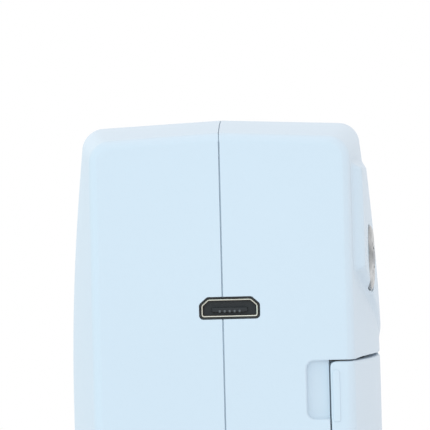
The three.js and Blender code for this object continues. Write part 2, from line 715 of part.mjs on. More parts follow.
function gears() {
  const shaft = [SHAFT_Y, SHAFT_Z];
  const main = prism('x', gearOutline(shaft, MAIN_TEETH, IDLER_ANGLE), LAYER_B, LAYER_B + GEAR_T);
  add('main_gear', 'nylon', main.subtract(rod('x', shaft, SHAFT_R + FIT, 0, 2 * HALF_MID)));
  const smallFirst = meshAngle(IDLER_ANGLE, SMALL_TEETH, 0);
  const small = prism('x', gearOutline(IDLER, SMALL_TEETH, smallFirst), LAYER_B, LAYER_A + TINY);
  const big = prism('x', gearOutline(IDLER, BIG_TEETH, MOTOR_ANGLE), LAYER_A, LAYER_A + GEAR_T);
  const bore = rod('x', IDLER, IDLER_R + FIT, 0, 2 * HALF_MID, 12);
  add('idler_gear', 'nylon', join(small, big).subtract(bore));
  const pinFrom = PLATE_X - FIT - 1;
  const idlerPin = join(
    rod('x', IDLER, IDLER_R, pinFrom + TINY, LAYER_A + GEAR_T + 0.2, 12),
    rod('x', IDLER, IDLER_R + 1, pinFrom, pinFrom + 1, 12),
  );
  add('idler_pin', 'steel', idlerPin);
  const pinion = prism('x', gearOutline(MOTOR, PINION_TEETH, meshAngle(MOTOR_ANGLE, PINION_TEETH, 0)),
    LAYER_A, LAYER_A + GEAR_T);
  const rotor = rod('x', MOTOR, 1, LAYER_B + FIT + 0.2, LAYER_A + TINY, 12);
  add('motor_pinion', 'brass', join(pinion, rotor));
}

function motor() {
  const [y, z] = MOTOR;
  const can = rod('x', MOTOR, MOTOR_R, PLATE_X - FIT - MOTOR_LONG, PLATE_X - FIT, 28);
  const slab = box([-40, 40], [y - 20, y + 20], [z - MOTOR_H / 2, z + MOTOR_H / 2]);
  const nose = rod('x', MOTOR, MOTOR_BOSS_R, PLATE_X - 1, LAYER_B, 16);
  add('motor', 'steel', join(can.intersect(slab), nose));
}

function gearPlate() {
  const [back, front] = [MOTOR[0] - MOTOR_R, PIVOT_Y + 6];
  const low = MOTOR[1] - MOTOR_H / 2;
  const outline = [[back, low], [SHAFT_Y + 8, low], [front, PIVOT_Z - 7], [front, PIVOT_Z + 5],
    [SHAFT_Y - 8, PIVOT_Z + 3], [back, low + MOTOR_H]];
  const hole = (middle, radius) => rod('x', middle, radius + FIT, 0, 2 * HALF_MID, 16);
  const plate = prism('x', rounded(outline, 3, 3), PLATE_X, PLATE_X + PLATE_T);
  add('gear_plate', 'steel', cut(
    plate, hole(MOTOR, MOTOR_BOSS_R), hole(IDLER, IDLER_R), hole([SHAFT_Y, SHAFT_Z], BUSH_R),
    hole([PIVOT_Y, PIVOT_Z], ROCKER_PIN_R),
  ));
}

function mainShaft() {
  const middle = [SHAFT_Y, SHAFT_Z];
  const disc = PLATE_X - FIT - CRANK_DISC_T;
  const bush = (from, to) => [[SHAFT_R + FIT, from], [BUSH_R, from], [BUSH_R, to], [SHAFT_R + FIT, to],
    [SHAFT_R + FIT, from]];
  add('main_shaft', 'steel', rod('x', middle, SHAFT_R, disc, WHEEL_OUT - 0.4));
  add('shaft_bush_inner', 'brass', turned('x', middle, bush(PLATE_X, PLATE_X + PLATE_T), 16));
  add('shaft_bush_outer', 'brass', turned('x', middle, bush(RECESS_X - WALL, RECESS_X), 16));
  const pinAt = crankPin();
  const crank = join(
    rod('x', middle, CRANK_DISC_R, disc, PLATE_X - FIT, 28),
    rod('x', pinAt, CRANK_PIN_R, ROCKER_X + ROCKER_T + FIT, disc + TINY, 12),
  );
  add('crank_disc', 'steel', crank.subtract(rod('x', middle, SHAFT_R + FIT, disc - 1, PLATE_X)));
  const knurl = Array.from({ length: 48 }, (_, step) => (
    polar(...middle, WHEEL_R - (step % 2) * 0.6, step * 7.5)
  ));
  const rim = prism('x', knurl, WHEEL_OUT - WHEEL_T, WHEEL_OUT);
  const dish = turned('x', middle, [[0, WHEEL_OUT - 0.8], [WHEEL_R - 3, WHEEL_OUT - 0.8],
    [WHEEL_R - 2, WHEEL_OUT + 1], [0, WHEEL_OUT + 1]], 28);
  const hub = turned('x', middle, [[0, WHEEL_OUT - 1], [4.5, WHEEL_OUT - 1], [4, WHEEL_OUT], [0, WHEEL_OUT]], 20);
  add('handwheel', 'cream', cut(rim.subtract(dish).add(hub), rod('x', middle, SHAFT_R + FIT, 0, 2 * HALF_MID)));
}

/** The crank pin with the needle up: square to the rocker's rear arm, below the shaft. */
function crankPin() {
  const arm = Math.atan2(PIVOT_Z - SHAFT_Z, PIVOT_Y - SHAFT_Y);
  return [SHAFT_Y + CRANK_R * Math.sin(arm), SHAFT_Z - CRANK_R * Math.cos(arm)];
}

/** Turns a place drawn in the rocker's middle position about its pivot to the needle-up position. */
function lifted([y, z]) {
  const place = new THREE.Vector2(y, z).rotateAround(new THREE.Vector2(PIVOT_Y, PIVOT_Z), SWING);
  return [place.x, place.y];
}

function rocker() {
  const arm = new THREE.Vector2(PIVOT_Y - SHAFT_Y, PIVOT_Z - SHAFT_Z).normalize();
  const across = new THREE.Vector2(-arm.y, arm.x);
  const rear = (along, side) => [
    PIVOT_Y - arm.x * along + across.x * side, PIVOT_Z - arm.y * along + across.y * side,
  ];
  const slotHalf = CRANK_R + CRANK_PIN_R + 1;
  const [near, far] = [ROCKER_REAR - slotHalf, ROCKER_REAR + slotHalf];
  const wide = CRANK_PIN_R + FIT;
  const tip = PIVOT_Y + ROCKER_FRONT;
  const outline = [rear(far + 2.5, 4), rear(far + 2.5, -4), rear(near - 4, -4), [PIVOT_Y, PIVOT_Z - 5],
    [tip + 2, PIVOT_Z - 2.2], [tip + 2, PIVOT_Z + 2.2], [PIVOT_Y, PIVOT_Z + 5], rear(near - 4, 4)];
  const slot = [rear(far, wide), rear(far, -wide), rear(near, -wide), rear(near, wide)];
  const to = ROCKER_X + ROCKER_T;
  const plate = prism('x', rounded(outline.map(lifted), 1.5, 3), ROCKER_X, to);
  const drive = rod('x', lifted([tip, PIVOT_Z]), DRIVE_PIN_R, BAR_R + FIT / 3, ROCKER_X + TINY, 12);
  add('needle_rocker', 'steel', join(cut(
    plate,
    prism('x', slot.map(lifted), 0, 2 * HALF_MID),
    rod('x', [PIVOT_Y, PIVOT_Z], ROCKER_PIN_R + FIT, 0, 2 * HALF_MID, 16),
  ), drive));
  const pin = join(
    rod('x', [PIVOT_Y, PIVOT_Z], ROCKER_PIN_R, ROCKER_X - 1, PLATE_X + PLATE_T + 0.8, 16),
    rod('x', [PIVOT_Y, PIVOT_Z], ROCKER_PIN_R + 1.2, ROCKER_X - FIT - 1, ROCKER_X - FIT, 16),
  );
  add('rocker_pin', 'steel', pin);
}

// ---------------------------------------------------------------- needle, foot, feed and looper

function needleBar() {
  const middle = [0, NEEDLE_Y];
  const top = CLAMP_LOW + CLAMP_H;
  add('needle_bar', 'silver', rod('z', middle, BAR_R, top - 2.5, COLLAR_Z + BAR_UP));
  const half = COLLAR_W / 2;
  const collar = box([-half, half], [NEEDLE_Y - 4.5, NEEDLE_Y + 4.5], [COLLAR_Z - COLLAR_H / 2, COLLAR_Z + COLLAR_H / 2]);
  const pinRoom = DRIVE_PIN_R + FIT;
  const slot = box([BAR_R, half + 1], [NEEDLE_Y - 3, NEEDLE_Y + 3], [COLLAR_Z - pinRoom, COLLAR_Z + pinRoom]);
  add('needle_collar', 'steel', cut(collar, slot, rod('z', middle, BAR_R + FIT, 0, HEIGHT)));
  const clamp = [[0, CLAMP_LOW], [CLAMP_R - 0.6, CLAMP_LOW], [CLAMP_R, CLAMP_LOW + 0.8], [CLAMP_R, top], [0, top]];
  const screwZ = CLAMP_LOW + 2;
  const bores = [
    rod('z', middle, BAR_R + FIT, top - 2.5 - FIT, top + 1),
    rod('z', middle, NEEDLE_R + FIT, CLAMP_LOW - 1, top - 2, 12),
    rod('y', [screwZ, 0], SCREW_R + FIT, NEEDLE_Y, NEEDLE_Y + CLAMP_R + 1, 12),
  ];
  add('needle_clamp', 'silver', cut(turned('z', middle, clamp, 20), bores));
  const head = NEEDLE_Y + CLAMP_R + FIT;
  const thumb = [[0, NEEDLE_Y + NEEDLE_R + FIT + 0.2], [SCREW_R, NEEDLE_Y + NEEDLE_R + FIT + 0.2], [SCREW_R, head],
    [2.2, head], [2.2, head + 2.6], [1.8, head + 3], [0, head + 3]];
  add('needle_clamp_screw', 'silver', turned('y', [screwZ, 0], thumb, 16));
  const tip = BED_TOP + NEEDLE_TIP_UP;
  const shank = top - 2.5 - 2 * FIT;
  const needle = [[0, tip], [NEEDLE_R * 0.6, tip + 2.5], [NEEDLE_R * 0.6, shank - 9], [NEEDLE_R, shank - 8],
    [NEEDLE_R, shank], [0, shank]];
  add('needle', 'silver', turned('z', middle, needle, 12));
  const guideZ = [top + 0.5, COLLAR_Z - STROKE - COLLAR_H / 2 - 0.4];
  const guide = box([-headInside(NEEDLE_Y), headInside(NEEDLE_Y)], [NEEDLE_Y - 3.7, NEEDLE_Y + 4], guideZ);
  add('needle_bar_guide', 'nylon', guide.subtract(rod('z', middle, BAR_R + FIT, 0, HEIGHT)));
}

/** Half the room inside the head at a place along it, less the usual gap. */
function headInside(y) {
  return halfAt(y, HEAD_LOW) - WALL - 1.2;
}

function presser() {
  const middle = [0, PRESSER_Y];
  const collarZ = LEVER_Z + LEVER_R + FIT;
  const top = collarZ + 15;
  const socketTop = FOOT_TOP + 4;
  const bar = join(
    rod('z', middle, PRESSER_R, socketTop - 2.5, top, 16),
    rod('z', middle, PRESSER_R + 1.15, collarZ, collarZ + 2.8, 16),
  );
  add('presser_bar', 'silver', bar);
  const [back, front] = [PRESSER_Y - 7, NEEDLE_Y + 9];
  const sole = rounded(rectangle([-FOOT_W / 2, FOOT_W / 2], [back, front]), 2.5);
  const slot = rounded(rectangle([-FOOT_SLOT, FOOT_SLOT], [NEEDLE_Y - 5, front + 3]), 1.5);
  const plate = prism('z', sole, FOOT_TOP - FOOT_T, FOOT_TOP).subtract(prism('z', slot, 0, FOOT_TOP + 1));
  const stem = box([-3.2, 3.2], [PRESSER_Y - 3.2, PRESSER_Y + 3.2], [FOOT_TOP - 0.2, socketTop]);
  const bore = rod('z', middle, PRESSER_R + FIT, socketTop - 2.5 - FIT, socketTop + 1, 16);
  add('presser_foot', 'silver', cut(join(plate, stem), bore));
  const guideZ = [HEAD_LOW + WALL + 1.1, HEAD_LOW + WALL + 3];
  const half = headInside(PRESSER_Y);
  const guide = box([-half, half], [PRESSER_Y - 3.5, PRESSER_Y + 3.5], guideZ);
  add('presser_bar_guide', 'nylon', guide.subtract(rod('z', middle, PRESSER_R + FIT, 0, HEIGHT, 16)));
}

function presserLever() {
  const axis = [LEVER_Y, LEVER_Z];
  const outside = halfAt(LEVER_Y - 17, LEVER_Z) + FIT;
  const reach = LEVER_BACK - PRESSER_R - 2 * FIT;
  const lobe = rectangle([LEVER_Y, LEVER_Y + reach], [LEVER_Z - LEVER_R, LEVER_Z + LEVER_R]);
  const handle = rounded([[LEVER_Y - 17, LEVER_Z - 5], [LEVER_Y + 3, LEVER_Z - 3.5], [LEVER_Y + 3.5, LEVER_Z + 3.5],
    [LEVER_Y - 4, LEVER_Z + 3.5], [LEVER_Y - 17, LEVER_Z - 0.5]], 1.8, 3);
  add('presser_lever', 'cream', join(
    rod('x', axis, LEVER_R, 0.6, outside + 1, 16),
    prism('x', lobe, 0.6, 2.6),
    prism('x', handle, outside, outside + 2.4),
  ));
}

function needlePlate() {
  const [back, front] = plateSpan(0);
  const [low, high] = [BED_TOP - NEEDLE_PLATE_T, BED_TOP];
  const plate = prism('z', rounded(rectangle([-PLATE_W / 2, PLATE_W / 2], [back, front]), 1.5), low, high);
  const run = FEED_LONG / 2 + FEED_STROKE / 2;
  const slots = [-FEED_X, FEED_X].map((x) => box(
    [x - FEED_W / 2 - FIT, x + FEED_W / 2 + FIT], [NEEDLE_Y - run - FIT, NEEDLE_Y + run + FIT], [low - 1, high + 1],
  ));
  const hole = prism('z', rounded(rectangle([-1.2, 1.2], [NEEDLE_Y - 2, NEEDLE_Y + 2]), 1.1), low - 1, high + 1);
  add('needle_plate', 'silver', cut(plate, slots, hole));
}

function feedDog() {
  const low = BED_TOP - NEEDLE_PLATE_T - FIT - 3;
  const shift = FEED_STROKE / 2;
  const [back, front] = [NEEDLE_Y - FEED_LONG / 2 - shift, NEEDLE_Y + FEED_LONG / 2 - shift];
  const bars = [-FEED_X, FEED_X].map((x) => {
    const teeth = Array.from({ length: 8 }, (_, tooth) => {
      const step = FEED_LONG / 8;
      return [[back + tooth * step, BED_TOP], [back + (tooth + 0.8) * step, BED_TOP + 0.35]];
    }).flat();
    return prism('x', [[back, low], [front, low], [front, BED_TOP], ...teeth.reverse()], x - FEED_W / 2, x + FEED_W / 2);
  });
  const bridge = box([-FEED_X, FEED_X], [back + TINY, back + 3], [low, low + 2]);
  add('feed_dog', 'steel', join(bars, bridge));
}

function looper() {
  const z = [FOOT_H + WALL + 0.6, FOOT_H + WALL + 0.6 + LOOPER_T];
  const pivot = [LOOPER_X, NEEDLE_Y - LOOPER_LONG - 1.6];
  const tipY = NEEDLE_Y - 1.6;
  const outline = [[LOOPER_X - 3, pivot[1] - 4], [LOOPER_X + 3, pivot[1] - 4], [LOOPER_X + 2, tipY], [LOOPER_X - 1.5, tipY],
    [LOOPER_X - 4.5, tipY - 0.4], [LOOPER_X - 2, tipY - 2.4], [LOOPER_X - 2, tipY - 6]];
  const body = prism('z', rounded(outline, 0.5, 2), ...z);
  add('looper', 'steel', cut(body, rod('z', pivot, ROCKER_PIN_R + FIT - 0.5, 0, HEIGHT, 12)));
  const pin = join(
    rod('z', pivot, ROCKER_PIN_R - 0.5, z[0], z[1] + 1, 12),
    rod('z', pivot, ROCKER_PIN_R + 0.8, z[1] + FIT, z[1] + 1.3, 12),
  );
  add('looper_pin', 'steel', pin);
}

// ---------------------------------------------------------------- controls and trim

function powerButton() {
  const top = topAt(BUTTON_Y) + BUTTON_UP;
  const flangeTop = topAt(BUTTON_Y + BUTTON_LONG / 2 + 2) - WALL - CROWN - 0.6;
  const flange = rectangle([-BUTTON_W / 2 - 1.5, BUTTON_W / 2 + 1.5],
    [BUTTON_Y - BUTTON_LONG / 2 - 1.5, BUTTON_Y + BUTTON_LONG / 2 + 1.5]);
  const flangeLow = flangeTop - 1.4;
  add('power_button', 'cream', join(
    prism('z', buttonOutline(0), flangeLow, top),
    prism('z', flange, flangeLow, flangeTop),
  ));
  const high = flangeLow - BUTTON_TRAVEL - FIT;
  add('power_switch', 'black', box([-3, 3], [BUTTON_Y - 4, BUTTON_Y + 4], [high - 6, high]));
}

function sliderZ(side) {
  return SHAFT_Z + SLIDER_UP + side * SLIDER_H / 2;
}

function sliderSpan(grow, travel) {
  return [SHAFT_Y - SLIDER_LONG / 2 - grow, SHAFT_Y + SLIDER_LONG / 2 + travel + grow];
}

function speedSlider() {
  const inside = halfAt(SHAFT_Y + SLIDER_LONG + SLIDER_TRAVEL, sliderZ(1) + 2) - WALL - FIT;
  add('speed_slider', 'cream', join(
    box([-WHEEL_OUT, -inside + 0.5], sliderSpan(0, 0), [sliderZ(-1), sliderZ(1)]),
    box([-inside, -inside + 1], sliderSpan(3, 0), [sliderZ(-1) - 2, sliderZ(1) + 2]),
  ));
}

function lampPlace() {
  return [-headInside(PRESSER_Y) + LENS_R - 0.5, PRESSER_Y + 8];
}

function lamp() {
  const [from, to] = [HEAD_LOW - 0.4, HEAD_LOW + WALL + 0.6];
  const lens = [[0, from], [LENS_R - 0.8, from], [LENS_R, from + 0.5], [LENS_R, to], [0, to]];
  add('lamp_lens', 'clear', turned('z', lampPlace(), lens, 16));
}

/** A wire staple that stands out of the right side and guides the thread. */
function threadGuide(name, y, z) {
  const half = 2;
  const surface = Math.max(halfAt(y - half - GUIDE_WIRE_R, z), halfAt(y + half, z)) + FIT;
  const turns = Array.from({ length: 7 }, (_, step) => step * Math.PI / 6);
  const bend = turns.map((turn) => new THREE.Vector3(
    surface + GUIDE_REACH - half + half * Math.sin(turn), y - half * Math.cos(turn), z,
  ));
  const path = new THREE.CatmullRomCurve3([
    new THREE.Vector3(surface, y - half, z), ...bend, new THREE.Vector3(surface, y + half, z),
  ]);
  const corners = Array.from({ length: 6 }, (_, side) => new THREE.Vector2(...polar(0, 0, GUIDE_WIRE_R, side * 60)));
  const shape = new THREE.Shape(corners);
  const geometry = new THREE.ExtrudeGeometry(shape, { steps: 14, extrudePath: path, bevelEnabled: false });
  add(name, 'silver', toSolid(geometry));
}

function feet() {
  footPlaces().forEach(([y, half], index) => {
    const name = ['rear_foot', 'front_foot'][index];
    add(name, 'rubber', box([-half, half], [y, y + PAD_FOOT_LONG], [0, 2 * FOOT_H - FIT]));
  });
}

function screws() {
  SCREWS.forEach((place, index) => {
    const head = screwHead(place) - FIT;
    const profile = [[0, head - 1], [SCREW_HEAD_R - 0.3, head - 1], [SCREW_HEAD_R, head], [SCREW_R, head],
      [SCREW_R, 5], [SCREW_R - 0.5, 6], [0, 6]];
    add(`case_screw_${index + 1}`, 'steel', turned('x', place, profile, 12));
  });
}

leftShell();
rightShell();
socket();
board();
cell();
threadCover();
spoolTray();
spool();
tension();
motor();
gearPlate();
gears();
mainShaft();
rocker();
needleBar();
presser();
presserLever();
needlePlate();
feedDog();
looper();
powerButton();
speedSlider();
lamp();
threadGuide('rear_thread_guide', SHAFT_Y + 22, SHAFT_Z + 17);
threadGuide('front_thread_guide', NEEDLE_Y - 4, HEAD_LOW + 18);
feet();
screws();

export default machine;
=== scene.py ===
"""A handheld rechargeable sewing machine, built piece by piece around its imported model."""

import json
import math
import sys

import bmesh
import bpy
from mathutils import Matrix, Vector
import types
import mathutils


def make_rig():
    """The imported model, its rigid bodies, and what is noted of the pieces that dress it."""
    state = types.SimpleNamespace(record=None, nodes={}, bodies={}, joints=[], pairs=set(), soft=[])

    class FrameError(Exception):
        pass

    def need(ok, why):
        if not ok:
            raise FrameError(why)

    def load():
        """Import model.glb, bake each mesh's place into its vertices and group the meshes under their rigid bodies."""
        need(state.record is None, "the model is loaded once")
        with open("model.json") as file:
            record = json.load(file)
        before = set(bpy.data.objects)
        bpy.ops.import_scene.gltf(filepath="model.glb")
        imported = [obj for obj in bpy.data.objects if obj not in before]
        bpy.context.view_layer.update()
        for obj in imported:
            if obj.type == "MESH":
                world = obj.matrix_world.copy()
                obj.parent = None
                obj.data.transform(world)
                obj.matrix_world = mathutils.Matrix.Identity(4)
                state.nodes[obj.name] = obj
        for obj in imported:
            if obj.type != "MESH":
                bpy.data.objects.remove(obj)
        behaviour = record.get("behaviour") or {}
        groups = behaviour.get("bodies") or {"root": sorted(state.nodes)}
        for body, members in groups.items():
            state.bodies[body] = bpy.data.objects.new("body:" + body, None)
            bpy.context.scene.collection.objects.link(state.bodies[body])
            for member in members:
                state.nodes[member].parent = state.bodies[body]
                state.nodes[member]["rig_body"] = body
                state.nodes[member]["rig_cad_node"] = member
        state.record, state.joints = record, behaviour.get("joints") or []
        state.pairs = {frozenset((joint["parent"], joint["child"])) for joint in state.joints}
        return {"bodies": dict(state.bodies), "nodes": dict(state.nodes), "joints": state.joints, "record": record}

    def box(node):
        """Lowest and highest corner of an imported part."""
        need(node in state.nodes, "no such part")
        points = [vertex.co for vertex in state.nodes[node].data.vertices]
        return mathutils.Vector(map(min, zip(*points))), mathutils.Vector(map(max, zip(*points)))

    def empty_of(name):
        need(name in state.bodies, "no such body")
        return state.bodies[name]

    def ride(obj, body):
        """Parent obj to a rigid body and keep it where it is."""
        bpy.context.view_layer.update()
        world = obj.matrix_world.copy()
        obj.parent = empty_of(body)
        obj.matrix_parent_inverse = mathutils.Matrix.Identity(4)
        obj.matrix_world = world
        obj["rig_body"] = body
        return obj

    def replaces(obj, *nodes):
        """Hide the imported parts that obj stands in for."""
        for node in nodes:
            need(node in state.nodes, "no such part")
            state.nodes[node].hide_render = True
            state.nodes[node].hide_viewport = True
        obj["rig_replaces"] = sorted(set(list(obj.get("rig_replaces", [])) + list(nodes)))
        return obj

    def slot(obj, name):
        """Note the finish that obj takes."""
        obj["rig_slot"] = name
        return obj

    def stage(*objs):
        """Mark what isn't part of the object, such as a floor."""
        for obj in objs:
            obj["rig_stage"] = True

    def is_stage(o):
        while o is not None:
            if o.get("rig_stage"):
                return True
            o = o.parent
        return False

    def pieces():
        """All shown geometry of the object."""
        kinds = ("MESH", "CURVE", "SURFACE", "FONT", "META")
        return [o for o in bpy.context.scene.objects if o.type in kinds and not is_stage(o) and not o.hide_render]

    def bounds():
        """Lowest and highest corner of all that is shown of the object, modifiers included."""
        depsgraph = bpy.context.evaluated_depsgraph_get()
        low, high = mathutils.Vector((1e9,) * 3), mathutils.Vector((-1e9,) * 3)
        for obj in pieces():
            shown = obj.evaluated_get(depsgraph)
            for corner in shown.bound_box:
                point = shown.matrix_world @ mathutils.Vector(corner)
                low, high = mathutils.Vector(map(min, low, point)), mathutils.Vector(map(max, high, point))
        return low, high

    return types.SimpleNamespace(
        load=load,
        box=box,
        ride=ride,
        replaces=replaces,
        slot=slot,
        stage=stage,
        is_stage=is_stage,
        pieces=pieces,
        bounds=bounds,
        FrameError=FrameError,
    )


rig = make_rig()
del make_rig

bl_info = {
    "name": "Handheld Sewing Machine",
    "version": (1, 0, 0),
    "blender": (4, 5, 0),
    "location": "3D View > Sidebar > Sewing",
    "description": "Models the machine's casing, socket, cover, needle drive and finishes",
    "category": "Object",
}

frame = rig.load()
CAD_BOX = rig.bounds()
MM = 0.001
AXES = {"x": (1, 2, 0), "y": (2, 0, 1), "z": (0, 1, 2)}  # an outline's two axes, then the run


# ------------------------------------------------------------------ sizes and colours


def size(name, millimetres, description):
    """A length in the panel, given here in millimetres."""
    return bpy.props.FloatProperty(
        name=name, description=description, default=millimetres * MM, unit="LENGTH", precision=5
    )


def colour(name, shade, description):
    """A colour in the panel, given here as linear red, green and blue."""
    return bpy.props.FloatVectorProperty(
        name=name, description=description, default=shade, subtype="COLOR", min=0, max=1
    )


class MachineSizes(bpy.types.PropertyGroup):
    """Sizes of the casing and of its openings."""

    rear_drop: size("Rear drop", 4, "How much lower the top is at the rear edge than at its crest")
    nose_drop: size("Nose drop", 8, "How much lower the top is at the nose")
    crest_ahead: size("Crest ahead", 70, "Rear face to the crest of the top")
    half_end: size("Rear half", 17, "Half of the thickness at the rear face")
    half_mid: size("Full half", 21.8, "Half of the full thickness")
    half_nose: size("Nose half", 15.5, "Half of the thickness at the nose")
    flare_run: size("Flare", 48, "Rear face to full thickness")
    taper_run: size("Taper", 110, "Full thickness to the nose")
    crown: size("Crown", 0.75, "Fall of the top from the seam to the side")
    tuck_top: size("Upper lean", 2.9, "How far the sides lean in at the crest")
    tuck_from: size("Lean from", 35, "Height where the sides start to lean in")
    tuck_base: size("Lower lean", 1.5, "How far the sides lean in at the base")
    tuck_under: size("Lean below", 14, "Height below which the sides lean in")
    top_radius: size("Top radius", 2.8, "Rounding of the upper edges")
    base_radius: size("Base radius", 4, "Rounding of the lower edges")
    edge_radius: size("Rear radius", 1.1, "Rounding around the rear face")
    nose_radius: size("Nose radius", 8, "Rounding around the nose")
    foot_height: size("Foot height", 0.8, "How far the casing stands above the table")
    wall: size("Wall", 2, "Thickness of the moulded walls")
    seam: size("Seam", 0.1, "Gap between the two halves")
    seam_radius: size("Seam rounding", 0.05, "Rounding of the two edges at the seam")
    gap: size("Gap", 0.3, "Gap between pieces that move past each other")
    pad_rise: size("Pad rise", 1.5, "How far the raised pad stands out at the rear")
    pad_run: size("Pad length", 70, "Rear face to the end of the raised pad")
    pad_back: size("Pad start", 2.5, "Rear face to the start of the raised pad")
    pad_top: size("Pad top", 4.55, "Rear top edge to the pad's top")
    pad_height: size("Pad height", 13.6, "Height of the pad at its rear end")
    pad_sweep: size("Pad sweep", 11, "How far the pad's lower edge drops towards the front")
    pad_ledge: size("Pad ledge", 0.6, "Half of the width of the pad's sloping ledges")
    bed_top: size("Bed top", 14, "Height of the sewing bed")
    bed_wall: size("Bed wall", 3.2, "Thickness of the bed's upper wall")
    throat_height: size("Throat height", 20, "Height of the opening between bed and head")
    throat_depth: size("Throat depth", 54, "Nose to the back of that opening")
    throat_radius: size("Throat radius", 5, "Rounding of the opening's inner corners")
    cover_thickness: size("Cover thickness", 1.8, "Wall of the thread cover")
    cover_corner: size("Cover corner", 0.7, "Rounding of the thread cover's corners")
    cover_gap: size("Cover gap", 0.18, "Gap around the thread cover")
    nail_width: size("Nail recess width", 3.1, "Width of the recess beside the cover")
    nail_depth: size("Nail recess depth", 0.95, "Depth of the recess beside the cover")


class MachineColours(bpy.types.PropertyGroup):
    """Colours of the main materials."""

    casing: colour("Casing", (0.585, 0.665, 0.745), "Moulded plastic of the two halves and the cover")
    trim: colour("Trim", (0.78, 0.8, 0.8), "Controls, handwheel and thread spool")
    silver: colour("Silver", (0.66, 0.66, 0.65), "Tension discs, needle bar and plate")
    steel: colour("Steel", (0.42, 0.43, 0.45), "Screws, pins, shaft and rocker")
    brass: colour("Brass", (0.6, 0.43, 0.17), "Bushes and motor pinion")
    black: colour("Black", (0.012, 0.012, 0.014), "Socket tongue and switch")
    nylon: colour("Nylon", (0.72, 0.7, 0.62), "Gears, tray and guides")
    rubber: colour("Rubber", (0.05, 0.055, 0.06), "Feet")
    board: colour("Board", (0.012, 0.11, 0.045), "Charging board")
    wrap: colour("Cell wrap", (0.03, 0.16, 0.42), "Sleeve of the cell")
    thread: colour("Thread", (0.8, 0.79, 0.76), "Thread on the spool")
    floor: colour("Floor", (0.93, 0.93, 0.93), "Table under the machine")


def clamp(value):
    return max(0.0, min(1.0, value))


def smooth(value, low, high):
    share = clamp((value - low) / (high - low))
    return share * share * (3 - 2 * share)


def node_box(name):
    """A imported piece's lowest and highest corners, in millimetres."""
    return tuple(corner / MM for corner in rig.box(name))


def node_middle(name):
    low, high = node_box(name)
    return (low + high) / 2


